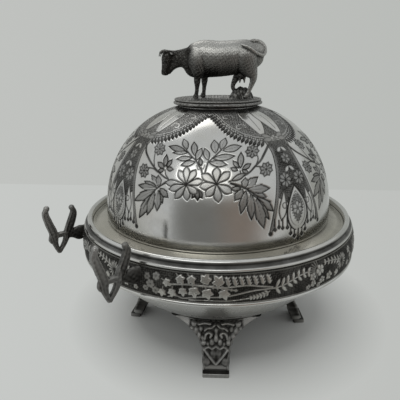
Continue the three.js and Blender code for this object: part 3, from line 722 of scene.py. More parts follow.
class Etching(Drawing):
    """A drawing in metal. dark and deep are numbers for every point (x, y)."""

    def __init__(self, x, y):
        super().__init__(x, y)
        self.dark = np.zeros(self.x.size)
        self.deep = np.zeros(self.x.size)

    def cut(self, near, cover, dark, deep):
        """Darkens and deepens the covered points, where they aren't darker or deeper."""
        self.dark[near] = np.maximum(self.dark[near], dark * cover)
        self.deep[near] = np.maximum(self.deep[near], deep * cover)

    def line(self, points, width, dark=0.9, deep=0.22, end_width=None):
        """A cut along a smooth path, whose width may run evenly from one end to the other."""
        path = smooth_path(points)
        near = self.near(path, 1.5 + width)
        gap, progress = nearest_on(path, self.x[near], self.y[near])
        widths = width + (width if end_width is None else end_width) * progress - width * progress
        self.cut(near, cover(widths / 2 - gap), dark, deep)

    def petal(self, base, tip, width, *, peak, tone, edge, line, vein=0.0, swell=0.0, point=0.5,
              teeth=0.0):
        """A leaf between two points. Half its width at a share a of its length is width/2
        bulge(a)^(0.65 + point a), widest at `peak`; a larger `point` gives a sharper tip.
        `teeth` notches run up each side of it, a fifth of the width deep. It is `tone` dark
        inside, darker towards its tip and its edge, and `edge` dark along its outline."""
        base, tip = np.array(base, float), np.array(tip, float)
        near = self.near(np.stack([base, tip]), width)
        a, b = self.beside(near, base, tip)
        held = np.clip(a, 0, 1)
        half = width / 2 * np.clip(bulge(held, peak), 0, 1) ** (0.65 + point * held)
        half = half * (1 - 0.2 * (teeth > 0) * np.mod(1 - held * teeth, 1))
        beyond = np.abs(a - held) * np.hypot(*(tip - base))
        inside = np.where(beyond > 0, -np.hypot(beyond, b), half - b)
        body = cover(inside)
        hem = np.clip(1 - inside / 1.0, 0, 1) ** 1.5
        shade = np.clip(tone * (0.75 + 0.3 * held ** 2) + 0.5 * tone ** 0.5 * hem, 0, 0.97)
        self.dark[near] = self.dark[near] * (1 - body) + body * shade
        self.deep[near] = self.deep[near] * (1 - body) + body * (0.03 - swell)
        if vein > 0:
            middle = cover(vein / 2 - b) * body * (held < 0.8)
            self.dark[near] = np.maximum(self.dark[near], 0.7 * edge * middle)
        self.cut(near, cover(line / 2 - np.abs(inside)), edge, 0.2)

    def shine(self, points, width):
        """A rubbed line: it takes the dark away along a smooth path."""
        path = smooth_path(points)
        near = self.near(path, 1.0 + width)
        gap = np.hypot(self.x[near, None] - path[:, 0], self.y[near, None] - path[:, 1])
        rubbed = cover(width / 2 - gap.min(axis=1))
        self.dark[near] *= 1 - rubbed
        self.deep[near] *= 1 - rubbed

    def ball(self, centre, radius, dark=0.9, deep=0.2, ring=0.0):
        """A round dot, or a ring of the given width."""
        near = self.near(np.array([centre, centre], float), radius + 1.5)
        gap = np.hypot(self.x[near] - centre[0], self.y[near] - centre[1])
        spot = cover(ring / 2 - np.abs(gap - radius)) if ring else cover(radius - gap)
        self.cut(near, spot, dark, deep)

    def flower(self, centre, radius, petals, *, tone, edge, width, line, turn=0.0, middle=0.0):
        """Petals evenly round a centre; `width` is a share of the radius, and `middle` the
        radius of a ring round the centre."""
        for angle in np.radians(turn) + full_turn(petals):
            tip = (centre[0] + radius * np.sin(angle), centre[1] - radius * np.cos(angle))
            self.petal(centre, tip, width * radius, peak=0.62, tone=tone, edge=edge, line=line)
        if middle:
            self.ball(centre, middle, edge, 0.15, ring=0.35)


print("drawing tools ready")

# %% [markdown]
# One quarter of the dome carries one whole repeat. The fan of flowers is drawn on coordinates
# measured from the middle of the panel, and the drapery on coordinates measured from the knot
# beside it: x is the radius times the angle from that line, y the length of metal from the
# neck. The dome's side follows (r / R)^p + (z / H)^p = 1.

# %% The dome's curve
NECK_RADIUS = 23.0
PANEL_BEARING = -8.0
KNOT_BEARING = 37.6
OUTER_ROWS = 286


def dome_curve(inset, start_radius, steps):
    """Points at even lengths of metal from a radius near the top to the foot, with their
    lengths and outward directions."""
    a = np.linspace(0, np.pi / 2, 6001)
    r = (DOME_RADIUS - inset) * np.sin(a) ** (2 / DOME_POWER)
    z = DOME_BASE + (DOME_HEIGHT - inset) * np.cos(a) ** (2 / DOME_POWER)
    length = lengths_along(np.stack([r, z], axis=-1))
    start = np.interp(start_radius, r, length)
    wanted = np.linspace(start, length[-1], steps)
    points = np.stack([np.interp(wanted, length, r), np.interp(wanted, length, z)], axis=-1)
    slope = np.gradient(points, axis=0)
    outward = np.stack([-slope[:, 1], slope[:, 0]], axis=-1)
    outward /= np.linalg.norm(outward, axis=1, keepdims=True)
    return points, outward, wanted - start


dome_points, dome_outward, dome_length = dome_curve(0.0, NECK_RADIUS, OUTER_ROWS)
print("metal from the neck to the foot of the dome:", round(dome_length[-1], 1), "mm")

# %% The garland under the neck
GARLAND_EDGE = np.array([(0, 7.0), (4, 12.8), (8.5, 19.6), (13.5, 24.6), (20, 28.4),
                         (27, 30.9), (33, 32.0), (42, 32.2)])


def garland(work):
    """Stippled ground above a curve that hangs from the middle of the panel to the knots, two
    borders along it, scrolls on it and a fringe of small leaves below it."""
    sweep = np.interp(np.abs(work.x), *GARLAND_EDGE.T)
    slope = np.interp(np.abs(work.x), [0, 10, 20, 33, 42], [0.60, 0.66, 0.90, 1.0, 1.0])
    above = (sweep - work.y) * slope
    ground = cover(above)
    speck = dots(work.x, work.y, 0.95, 0.62) * (above > 3.4)
    work.dark = np.maximum(work.dark, ground * (0.90 - 0.50 * speck))
    work.deep = np.maximum(work.deep, ground * (0.16 - 0.14 * speck))
    for offset, width in ((0.45, 0.55), (3.1, 0.45)):
        bright = cover(width / 2 - np.abs(above - offset))
        work.dark = work.dark * (1 - 0.75 * bright)
        work.deep = work.deep * (1 - bright)
    beads = dots(work.x, above, 1.25, 0.85, 5) * cover(0.9 - np.abs(above - 1.8))
    work.dark = work.dark * (1 - 0.7 * beads)
    work.deep = work.deep * (1 - beads)
    edge = smooth_path(GARLAND_EDGE[:7])
    lengths = lengths_along(edge)
    for at in np.arange(1.6, lengths[-1], 2.35):
        x, y = (np.interp(at, lengths, edge[:, k]) for k in (0, 1))
        for side in (-1, 1):
            work.petal((side * (x + 0.5), y - 0.8), (side * (x - 0.7), y + 2.5), 1.7,
                       peak=0.5, tone=0.95, edge=0.97, line=0.5)
    for side in (-1, 1):
        scroll = np.linspace(0, 1.6 * np.pi, 12)
        for x, y, size in ((9.5, 10.5, 3.4), (17.5, 20.0, 3.2)):
            reach = size * (1 - scroll / 7)
            curl = np.stack([side * (x + reach * np.cos(scroll)), y - reach * np.sin(scroll)], -1)
            near = work.near(curl, 2.0)
            gap = np.hypot(work.x[near, None] - curl[:, 0], work.y[near, None] - curl[:, 1])
            bright = cover(0.42 - gap.min(axis=1)) * (above[near] > 3.6)
            work.dark[near] *= 1 - 0.7 * bright
            work.deep[near] *= 1 - bright


print("half of the garland's edge is given by", len(GARLAND_EDGE), "points")

# %% The flowers of a panel


def leaves(work, tone, *shapes, teeth=0.0):
    """Pointed leaves, each from (base, tip, width), with a rib and two slanting veins."""
    for base, tip, width in shapes:
        work.petal(base, tip, width, peak=0.52, tone=tone, edge=0.98, line=0.75, teeth=teeth)
        way = np.array(tip) - np.array(base)
        aside = 0.26 * width * np.array([-way[1], way[0]]) / np.hypot(*way)
        rib = [base + 0.08 * way, base + 0.82 * way]
        work.line(rib, 0.34, dark=0.92, deep=0.06, end_width=0.2)
        for side in (-1, 1):
            vein = [base + 0.34 * way, base + 0.58 * way + side * aside]
            work.line(vein, 0.2, dark=0.8, deep=0.04, end_width=0.1)


def open_flower(work, centre, width, *tips):
    """Long petals, narrow at the centre, with a short cut up each of them."""
    for tip in tips:
        work.petal(centre, tip, width, peak=0.66, tone=0.34, edge=0.96, line=0.7, point=0.25)
    for tip in tips:
        way = np.array(tip) - np.array(centre)
        cut = [centre + 0.12 * way, centre + 0.62 * way]
        work.line(cut, 0.32, dark=0.6, deep=0.08, end_width=0.15)


def daisy(work, centre, size, turn):
    """Eight short dark petals with rubbed lines up them and a ring round the middle."""
    work.flower(centre, size, 8, turn=turn, tone=0.66, edge=0.97, width=0.62, line=0.5)
    for angle in np.radians(turn) + full_turn(8):
        way = size * np.array([np.sin(angle), -np.cos(angle)])
        work.shine([centre + 0.25 * way, centre + 0.62 * way], 0.3)
    work.ball(centre, 0.62, 0.9, 0.15, ring=0.4)


def stems(work):
    """The two branches that tie the spray to the knots, with short stalks off them."""
    work.line([(-35.1, 33.6), (-33.9, 38.8), (-30.5, 42.7), (-26.9, 45.9), (-22.8, 48.8),
               (-18.1, 51.4), (-14.0, 52.6)], 1.7, end_width=0.8)
    work.line([(34.6, 33.5), (31.9, 38.7), (30.1, 41.8), (27.8, 44.0), (24.2, 47.7),
               (19.3, 50.2), (14.6, 51.8)], 1.7, end_width=0.7)
    for path in ([(-26.8, 39.4), (-26.6, 43.0), (-25.8, 46.0)],
                 [(-29.4, 47.5), (-26.2, 47.6), (-23.1, 49.0)],
                 [(-18.9, 47.4), (-18.3, 49.6), (-16.5, 51.5)],
                 [(28.5, 39.0), (28.8, 41.0), (28.0, 43.4)],
                 [(31.4, 45.4), (29.6, 44.8), (28.0, 44.6)],
                 [(19.8, 46.6), (20.4, 48.2), (21.0, 49.4)],
                 [(-0.6, 44.2), (0.4, 45.6), (1.0, 47.4)],
                 [(3.4, 41.7), (2.9, 44.4), (2.4, 47.6)]):
        work.line(path, 0.8)
    work.line([(-8.5, 35.4), (-5.6, 38.4), (-2.6, 41.1), (-0.6, 44.2)], 0.9)
    work.line([(9.4, 34.8), (6.4, 38.4), (3.4, 41.7)], 0.9)


def feathered_leaves(work):
    """Two leaves of many leaflets over the open flowers, tied by two curls."""
    leaves(work, 0.38,
           ((-3.7, 38.1), (-5.0, 30.3), 3.1), ((-8.1, 34.8), (-10.9, 28.9), 3.1),
           ((-7.1, 36.6), (-15.8, 37.6), 2.1), ((-4.9, 39.6), (-13.0, 40.9), 2.6),
           ((-3.1, 41.7), (-10.2, 43.9), 2.9), ((-2.6, 40.7), (-0.6, 33.8), 3.2),
           ((3.4, 40.5), (1.0, 33.9), 3.0), ((6.6, 36.5), (5.2, 28.7), 3.8),
           ((9.2, 34.5), (10.7, 27.4), 3.5), ((10.3, 35.0), (19.4, 32.8), 4.0),
           ((5.7, 39.6), (16.5, 38.3), 3.4), ((4.1, 41.7), (12.9, 43.0), 3.4))
    leaves(work, 0.62,
           ((-9.1, 35.6), (-18.8, 34.1), 3.2), ((0.1, 43.6), (-0.7, 39.6), 1.9))
    for curl in ([(-2.0, 43.4), (-1.2, 45.6), (0.4, 44.6)],
                 [(2.0, 43.0), (1.2, 45.4), (0.2, 44.4)]):
        work.line(curl, 0.5, dark=0.8, deep=0.15)


def sprigs_and_daisies(work):
    """A star of small leaves and two daisies on either side."""
    leaves(work, 0.60,
           ((-19.2, 45.5), (-19.2, 39.0), 2.6), ((-18.1, 45.7), (-15.5, 41.4), 2.0),
           ((-18.0, 46.5), (-14.2, 46.6), 2.2), ((-19.7, 46.4), (-23.9, 43.8), 2.6),
           ((-19.6, 47.3), (-23.0, 48.4), 2.0))
    leaves(work, 0.46,
           ((19.8, 44.8), (19.5, 36.4), 3.0), ((18.9, 44.8), (15.8, 41.0), 1.8),
           ((18.4, 46.1), (15.0, 44.8), 1.9), ((20.9, 45.6), (25.0, 43.0), 2.4),
           ((20.8, 46.2), (24.0, 47.6), 1.7), ((15.9, 51.3), (22.6, 47.8), 2.6))
    for x, y, turn in ((-24.3, 36.3, 8), (-32.6, 49.5, 20), (25.4, 36.2, 0), (33.6, 46.5, 15)):
        daisy(work, (x, y), 3.9, turn)


def broad_leaves(work):
    """A large notched leaf low down on either side, with rubbed veins."""
    leaves(work, 0.56,
           ((-21.6, 56.0), (-26.9, 51.0), 3.4), ((-21.6, 56.3), (-22.5, 50.6), 3.6),
           ((-22.9, 56.9), (-31.2, 54.9), 2.8), ((-22.9, 57.3), (-35.3, 57.6), 3.6),
           ((-23.4, 58.0), (-37.7, 66.0), 4.6), ((-25.6, 60.6), (-33.7, 74.2), 4.8),
           ((-24.0, 59.2), (-28.1, 71.6), 4.4), ((-21.4, 58.2), (-18.8, 64.2), 3.0),
           ((-21.6, 58.4), (-21.9, 68.5), 4.4), ((-20.8, 57.1), (-15.8, 61.0), 3.8),
           teeth=3.0)
    leaves(work, 0.58,
           ((22.4, 55.4), (29.1, 50.1), 4.6), ((22.4, 55.2), (22.7, 50.0), 3.8),
           ((24.0, 56.2), (34.1, 60.5), 3.8), ((24.0, 56.0), (35.8, 56.3), 4.6),
           ((29.4, 60.0), (38.4, 67.8), 4.2), ((29.0, 60.4), (36.1, 71.6), 3.4),
           ((29.0, 60.8), (33.4, 75.8), 5.6), ((26.0, 58.4), (26.7, 71.0), 4.2),
           ((23.2, 56.6), (21.2, 67.6), 4.0), ((21.6, 55.8), (17.9, 61.0), 4.2),
           ((20.6, 55.2), (15.8, 55.4), 2.6), teeth=3.0)
    work.line([(15.6, 52.6), (22.9, 55.3), (29.4, 59.6), (36.5, 62.9)], 1.2,
              dark=0.95, deep=0.25, end_width=0.8)
    work.line([(-15.1, 52.5), (-18.4, 54.2), (-21.9, 56.7), (-25.6, 60.2), (-31.0, 69.0)], 1.1,
              dark=0.95, deep=0.25, end_width=0.5)
    for path in ([(-23.6, 57.4), (-27.0, 58.2), (-31.4, 58.9)],
                 [(-22.2, 58.6), (-23.0, 61.0), (-23.4, 64.0)],
                 [(-22.8, 55.6), (-24.6, 54.4), (-26.8, 53.8)],
                 [(24.4, 57.4), (25.0, 60.0), (24.8, 63.6)],
                 [(27.6, 60.4), (28.6, 63.4), (29.4, 66.6)],
                 [(24.6, 54.9), (27.6, 54.2), (30.0, 53.9)]):
        work.shine(path, 0.45)


def open_flowers(work):
    """The two large flowers side by side, with a dark tuft between them."""
    leaves(work, 0.85,
           ((-0.8, 56.0), (-3.2, 60.2), 2.4), ((-0.8, 56.0), (2.0, 60.0), 2.4),
           ((-0.8, 56.0), (-0.3, 61.2), 2.6))
    open_flower(work, (-6.6, 53.7), 3.4, (-18.0, 53.6), (-11.2, 46.9), (-2.3, 46.0),
                (-15.4, 57.0), (-0.9, 58.0), (-11.9, 61.1), (-5.6, 61.5), (-7.2, 44.5),
                (1.6, 51.4))
    open_flower(work, (8.5, 52.8), 3.9, (0.9, 48.0), (14.7, 46.8), (0.4, 54.6), (16.2, 57.3),
                (3.8, 59.2), (10.0, 61.8), (8.0, 44.3))


SPRAY = (stems, feathered_leaves, sprigs_and_daisies, broad_leaves, open_flowers)
print("a spray of flowers is drawn in", len(SPRAY), "steps")

# %% The drapery and the knot
DRAPERY_SIDE = np.array([(6.8, 31), (6.2, 37), (6.8, 42), (8.7, 50), (12.5, 62), (15.4, 71),
                         (17.6, 78.6)])


def hanging(work, x, y, length, size, weight):
    """A short cord with a drop on its end."""
    work.line([(x, y), (x, y + length)], weight, dark=0.92, deep=0.2)
    work.petal((x, y + length - 0.8 * size), (x, y + length + 1.1 * size), 1.5 * size,
               peak=0.6, tone=0.95, edge=0.95, line=0.4)


def drapery(work):
    """A cloth that widens downwards between two ribbons, with rosettes on a stippled ground,
    a pointed medallion in its middle and a fringe of drops."""
    half = np.interp(work.y, DRAPERY_SIDE[:, 1], DRAPERY_SIDE[:, 0], left=0, right=0)
    lower = 66.5 - 0.62 * np.abs(np.abs(work.x) - 4.0)
    inside = np.minimum(half - 1.0 - np.abs(work.x), lower - work.y)
    cloth = cover(inside) * (half > 0)
    speck = dots(work.x, work.y, 0.92, 0.66, 3)
    work.dark = work.dark * (1 - cloth) + cloth * (0.97 - 0.26 * speck)
    work.deep = work.deep * (1 - cloth) + cloth * (0.15 - 0.13 * speck)
    for side in (-1, 1):
        path = DRAPERY_SIDE * (side, 1)
        work.line(path, 1.9, dark=0.62, deep=0.08, end_width=1.3)
        work.line(path + (0.75 * side, 0), 0.6, dark=0.95)
        work.line(path - (0.75 * side, 0), 0.5)
        work.ball((side * 17.9, 79.4), 1.25, 0.97)
        work.petal((side * 7.2, 57.4), (side * 11.2, 73.4), 4.6,
                   peak=0.66, tone=0.04, edge=0.9, line=0.8)
        rosette = (side * 4.8, 53.2)
        work.ball(rosette, 4.5, 0.75, 0.12)
        work.flower(rosette, 4.1, 8, tone=0.56, edge=0.97, width=0.62, line=0.6, middle=1.0)
        work.ball(rosette, 2.0, 0.05, -0.1, ring=0.45)
        work.ball(rosette, 4.6, 0.05, 0.0, ring=0.45)
        work.ball((side * 8.4, 66.0), 1.2, 0.1, -0.1)
        work.ball((side * 8.4, 66.0), 1.4, 0.9, 0.2, ring=0.5)
        for x, y, length in ((15.3, 72, 5.2), (12.9, 73, 3.2), (10.6, 72.4, 4.6)):
            hanging(work, side * x, y, length, 1.3, 0.8)
        for x, y, length in ((7.6, 72.4, 4.8), (5.4, 75.6, 5.2), (2.8, 77.8, 5.0)):
            hanging(work, side * x, y, length, 1.4, 0.9)
    work.flower((0, 42.0), 3.2, 6, tone=0.56, edge=0.95, width=0.7, line=0.5, middle=0.9)
    work.ball((0, 42.0), 3.7, 0.9, 0.12, ring=0.55)
    for y in (36.5, 47.6, 59.8):
        for side in (-1, 1):
            work.petal((0, y - 1.4), (side * 3.2, y + 1.6), 2.0,
                       peak=0.55, tone=0.1, edge=0.85, line=0.45)
    work.petal((0, 56.6), (0, 80.2), 14.6, peak=0.62, tone=0.10, edge=0.97, line=1.2, point=-0.2)
    work.petal((0, 59.6), (0, 78.0), 11.2, peak=0.60, tone=0.06, edge=0.8, line=0.5, point=-0.2)
    near = work.near(np.array([(-5, 60), (5, 77)], float), 0.0)
    a = np.clip((work.y[near] - 60.6) / 16.0, 0, 1)
    field = 4.6 * np.sin(np.pi * a ** 0.85) ** 0.75 - np.abs(work.x[near])
    ragged = 0.5 * np.sin(work.y[near] * 4.2)
    core = cover(field + ragged - 0.3)
    speck = dots(work.x[near], work.y[near], 0.9, 0.6, 7)
    work.dark[near] = work.dark[near] * (1 - core) + core * (0.92 - 0.5 * speck)
    work.deep[near] = np.maximum(work.deep[near], core * (0.14 - 0.12 * speck))
    work.flower((0, 68.6), 3.6, 6, tone=0.30, edge=0.95, width=0.7, line=0.5, middle=0.9)
    hanging(work, 0, 79.8, 4.6, 1.4, 0.9)


def knot(work):
    """Two bright lobes over a bow, on the garland's ground."""
    for side in (-1, 1):
        work.petal((side * 3.4, 2.4), (side * 6.4, 27.6), 10.4,
                   peak=0.40, tone=0.0, edge=0.9, line=0.6, swell=0.08, point=0.0)
        fold = [(side * 4.6, 10.0), (side * 5.2, 16.0), (side * 5.6, 23.0)]
        work.line(fold, 0.6, dark=0.6, deep=0.1)
    for side in (-1, 1):
        for x, y in ((7.4, 26.2), (8.2, 30.2), (6.4, 34.6)):
            work.petal((0, 30.2), (side * x, y), 3.4,
                       peak=0.62, tone=0.55, edge=0.9, line=0.5, vein=0.4)
    work.flower((0, 30.2), 3.2, 6, tone=0.35, edge=0.95, width=0.8, line=0.45, middle=1.1)


print("a side of the drapery is given by", len(DRAPERY_SIDE), "points")

# %% The engraved quarter
QUARTER_STEPS = 301
INNER_ROWS = 20
INSIDE_TARNISH = 0.12
STUD_HOLE = 3.0


def engraved_quarter():
    """The outside of a quarter as rows down the dome by columns round it, pressed in along the
    outward direction by the depth of the drawing, with the plain inside behind it."""
    bearing = np.radians(KNOT_BEARING - 90 + np.linspace(0, 90, QUARTER_STEPS))
    radius = dome_points[:, :1]
    y = np.broadcast_to(dome_length[:, None], (len(dome_length), QUARTER_STEPS))
    from_panel = radius * (bearing - np.radians(PANEL_BEARING))
    from_knot = bearing - np.radians(KNOT_BEARING)
    from_knot = radius * (from_knot + np.where(from_knot < -np.pi / 4, np.pi / 2, 0))
    panel = Etching(from_panel, y)
    garland(panel)
    for draw in SPRAY:
        draw(panel)
    hung = Etching(from_knot, y)
    hung.dark, hung.deep = panel.dark, panel.deep
    knot(hung)
    drapery(hung)
    deep = hung.deep.reshape(y.shape)
    dark = hung.dark.reshape(y.shape)
    foot = np.clip((dome_length[-1] - y) / 1.0, 0, 1)
    deep = deep * foot + 0.2 * (1 - foot) ** 2
    r = radius - deep * dome_outward[:, :1]
    z = dome_points[:, 1:] - deep * dome_outward[:, 1:]
    inside, _, _ = dome_curve(SHEET, NECK_RADIUS, INNER_ROWS)
    inside = inside[::-1]
    r = np.concatenate([r, np.broadcast_to(inside[:, :1], (INNER_ROWS, QUARTER_STEPS))])
    z = np.concatenate([z, np.broadcast_to(inside[:, 1:], (INNER_ROWS, QUARTER_STEPS))])
    dark = np.concatenate([dark, np.full((INNER_ROWS, QUARTER_STEPS), INSIDE_TARNISH)])
    return bearing, r, z, dark


def closed_ends(piece, crease):
    """Fills the open rims of a mesh with faces and marks their edges as sharp."""
    shell = bmesh.new()
    shell.from_mesh(piece.data)
    open_edges = [edge for edge in shell.edges if edge.is_boundary]
    filled = bmesh.ops.holes_fill(shell, edges=open_edges, sides=0)["faces"]
    bmesh.ops.triangulate(shell, faces=filled)
    shell.to_mesh(piece.data)
    shell.free()
    piece.data.set_sharp_from_angle(angle=np.radians(crease))


quarter_bearing, quarter_r, quarter_z, quarter_dark = engraved_quarter()
quarter_faces = grid_faces(*quarter_r.shape, True, False)
for quarters, side in enumerate(("front", "right", "back", "left")):
    bearing = quarter_bearing + quarters * np.pi / 2
    grid = np.stack([quarter_r * np.sin(bearing), -quarter_r * np.cos(bearing), quarter_z], -1)
    quarter = mesh_from("dome_quarter_" + side, grid, quarter_faces, 65, tarnish=quarter_dark)
    closed_ends(quarter, 65)
    dress(quarter, engraved_silver, "cover", "silver_plate", "cover_dome")

# %% The plain crown under the finial
crown_outside, _, _ = dome_curve(0.0, STUD_HOLE, 60)
crown_inside, _, _ = dome_curve(SHEET, STUD_HOLE, 40)
neck_inside, _, _ = dome_curve(SHEET, NECK_RADIUS, 2)
crown_section = np.concatenate([crown_outside[crown_outside[:, 0] < NECK_RADIUS],
                                dome_points[:1], neck_inside[:1],
                                crown_inside[crown_inside[:, 0] < NECK_RADIUS][::-1]])
crown = mesh_from("dome_crown", *turned(crown_section), crease=50)
dress(crown, polished_silver, "cover", "silver_plate", "cover_dome")

# %% [markdown]
# The band round the dish is stamped: bright leaves, ferns and blossoms stand up from a dark
# pebbled ground. The same drawing tools work here, but a leaf now raises the metal instead of
# cutting it. The pattern is one quarter of the way round, rolled four times.

# %% Tools for stamped relief


class Stamping(Drawing):
    """Raised work on flat coordinates: x in millimetres round the dish, y the height over the
    band's lower edge. rise is 0 on the ground and 1 on the top."""

    def __init__(self, x, y):
        super().__init__(x, y)
        self.rise = np.zeros(self.x.size)

    def lobe(self, base, tip, width, height, peak=0.5):
        """A pillow between two points, widest at `peak`: height times the share of the way in
        from its edge, rounded, with a faint furrow up its middle."""
        base, tip = np.array(base, float), np.array(tip, float)
        near = self.near(np.stack([base, tip]), width)
        a, b = self.beside(near, base, tip)
        held = np.clip(a, 0, 1)
        half = width / 2 * bulge(held, peak) ** (0.6 + 0.5 * held)
        inside = np.where(np.abs(a - held) > 0, -1.0, half - b)
        body = np.clip(inside / 0.34 + 0.3, 0, 1) * (1 - 0.3 * cover(0.14 - b))
        self.rise[near] = np.maximum(self.rise[near], height * body)

    def stem(self, points, width, height=0.75):
        """A rounded wire along a smooth path."""
        path = smooth_path(points)
        near = self.near(path, 2.0)
        gap, _ = nearest_on(path, self.x[near], self.y[near])
        self.rise[near] = np.maximum(self.rise[near], height * cover(width / 2 - gap))

    def ivy(self, centre, size, turn):
        """Five pointed lobes, the one that follows `turn` the longest, and a short stalk on the
        other side."""
        for angle, share in ((0, 1.25), (58, 1.0), (-58, 1.0), (120, 0.75), (-120, 0.75)):
            way = np.radians(turn + angle)
            tip = (centre[0] + share * size * np.sin(way), centre[1] - share * size * np.cos(way))
            self.lobe(centre, tip, 0.68 * size, 1.0, peak=0.36)
        way = np.radians(turn + 180)
        end = (centre[0] + size * np.sin(way), centre[1] - size * np.cos(way))
        self.stem([centre, end], 0.4, 0.7)

    def blossom(self, centre, size, petals, turn, height=1.0):
        """Round petals evenly round a centre."""
        for angle in np.radians(turn) + full_turn(petals):
            tip = (centre[0] + size * np.sin(angle), centre[1] + size * np.cos(angle))
            self.lobe(centre, tip, 0.72 * size, height, peak=0.66)

    def frond(self, points, length, width, pairs, lean, height=1.0):
        """Leaflets on both sides of a bent stalk, shorter towards its end. They lean `lean`
        degrees towards the end."""
        path = smooth_path(points)
        self.stem(points, 0.55)
        lengths = lengths_along(path)
        heading = np.gradient(path, axis=0)
        for share in (np.arange(pairs) + 0.6) / pairs:
            at = share * lengths[-1]
            spot = np.array([np.interp(at, lengths, path[:, k]) for k in (0, 1)])
            way = np.arctan2(*[np.interp(at, lengths, heading[:, k]) for k in (1, 0)])
            reach = length * (1 - 0.45 * share)
            for side in (-1, 1):
                turn = way + side * np.radians(90 - lean)
                tip = spot + reach * np.array([np.cos(turn), np.sin(turn)])
                self.lobe(spot, tip, width, height, peak=0.48)


print("relief tools ready")

# %% The band's pattern
BAND_BOTTOM = 42.856
BAND_RADIUS = 84.9
BAND_TAPER = 1.0
BAND_SWELL = 1.04
GROUND_DEPTH = 0.55
PEBBLE_RISE = 0.22
BAND_STEPS = 440
BAND_ROWS = 46
BAND_START = -26.0


def on_band(*places):
    """Points of the pattern, from bearings in degrees and heights in millimetres."""
    return [(np.radians(bearing) * BAND_RADIUS, height) for bearing, height in places]


def roses_and_ivy(work):
    """A cluster of roses, and ivy on two stems."""
    for bearing, height, size in ((-22.3, 7.0, 2.5), (-20.2, 11.4, 2.2), (-20.4, 4.0, 2.2),
                                  (-23.6, 10.6, 1.9), (-24.2, 4.2, 1.7)):
        work.blossom(*on_band((bearing, height)), size, 6, bearing * 9, 0.55)
    for bearing, height, size, turn in (
            (-16.6, 9.4, 2.3, 60), (-12.0, 12.0, 2.5, 40), (-8.3, 12.3, 2.4, 35),
            (-3.6, 12.0, 2.9, 160), (0.9, 11.2, 3.1, 215), (-18.0, 4.0, 2.3, -10),
            (-14.5, 4.8, 2.4, -5), (-10.9, 6.0, 2.4, 5), (-7.3, 6.5, 3.0, 10),
            (-3.0, 6.0, 3.0, 15), (2.3, 5.8, 3.0, 20)):
        work.ivy(*on_band((bearing, height)), 1.18 * size, turn)
    work.stem(on_band((-15.4, 8.5), (-10, 9.4), (-4, 9.2), (1.8, 8.6), (9.6, 9.4), (14, 8.4),
                      (18.4, 7.2)), 0.62)
    work.stem(on_band((-16, 1.6), (-13.4, 2.9), (-11, 1.9), (-8.9, 2.4), (-5, 3.4), (0, 3.6),
                      (4.7, 4.4), (10, 6.0), (14, 6.6), (20.4, 6.4)), 0.62)
    work.stem(on_band((-9, 1.3), (-3, 1.6), (4, 1.5), (9, 2.2), (14, 3.0)), 0.5)


def ferns_and_fronds(work):
    """A hedge of upright ferns, with three fronds under and beside it."""
    for bearing in np.arange(3.6, 17.6, 2.25):
        foot, top = on_band((bearing + 0.4, 9.2), (bearing - 0.5, 14.5))
        work.lobe(foot, top, 1.5, 1.0, peak=0.36)
        for side in (-1, 1):
            for share in (0.1, 0.35, 0.6):
                joint = [foot[k] + share * (top[k] - foot[k]) for k in (0, 1)]
                work.lobe(joint, (joint[0] + side * 1.35, joint[1] + 1.3), 0.75, 0.9)
    work.frond(on_band((17.4, 5.2), (14.5, 3.4), (11.0, 2.6)), 2.6, 1.05, 6, 35)
    work.frond(on_band((-2.2, 9.3), (2.2, 8.2), (6.6, 7.0)), 1.7, 0.7, 6, 35, 0.8)
    work.frond(on_band((18.2, 6.4), (22, 7.0), (26, 9.0), (30.5, 10.6), (33, 10.4)),
               5.2, 1.5, 7, 32)


def blossoms_and_rays(work):
    """Small blossoms with stamens spread from one of them, a frond, a rayed flower head, an
    ivy leaf and more roses."""
    for bearing, height, size in ((32.6, 2.2, 1.2), (34.8, 3.4, 1.5), (34.4, 7.3, 1.6),
                                  (39.2, 3.8, 1.6), (37.9, 9.6, 2.3), (43.0, 4.4, 1.9),
                                  (37.6, 1.7, 1.1)):
        work.blossom(*on_band((bearing, height)), 1.35 * size, 5, bearing * 7)
    middle, head = np.array(on_band((37.2, 10.0), (51.8, 8.2)))
    for angle in np.radians(np.arange(100, 262, 16)):
        way = np.array([np.cos(angle), 0.75 * np.sin(angle)])
        work.stem([middle + 2.6 * way, middle + 6.6 * way], 0.4, 0.6)
    work.frond(on_band((50.5, 9.6), (46, 11.4), (40.4, 12.6)), 3.4, 1.1, 5, 38)
    for angle in np.radians(np.arange(-70, 250, 24)):
        way = np.array([np.cos(angle), np.sin(angle)])
        work.lobe(head + 0.8 * way, head + 5.0 * way, 0.95, 0.9, peak=0.6)
    work.ivy(*on_band((48.0, 4.0)), 2.4, -30)
    for bearing, height, size in ((58.6, 11.0, 2.1), (60.6, 7.0, 1.8), (57.6, 3.8, 1.7),
                                  (61.8, 3.2, 1.5)):
        work.blossom(*on_band((bearing, height)), size, 5, bearing * 5)


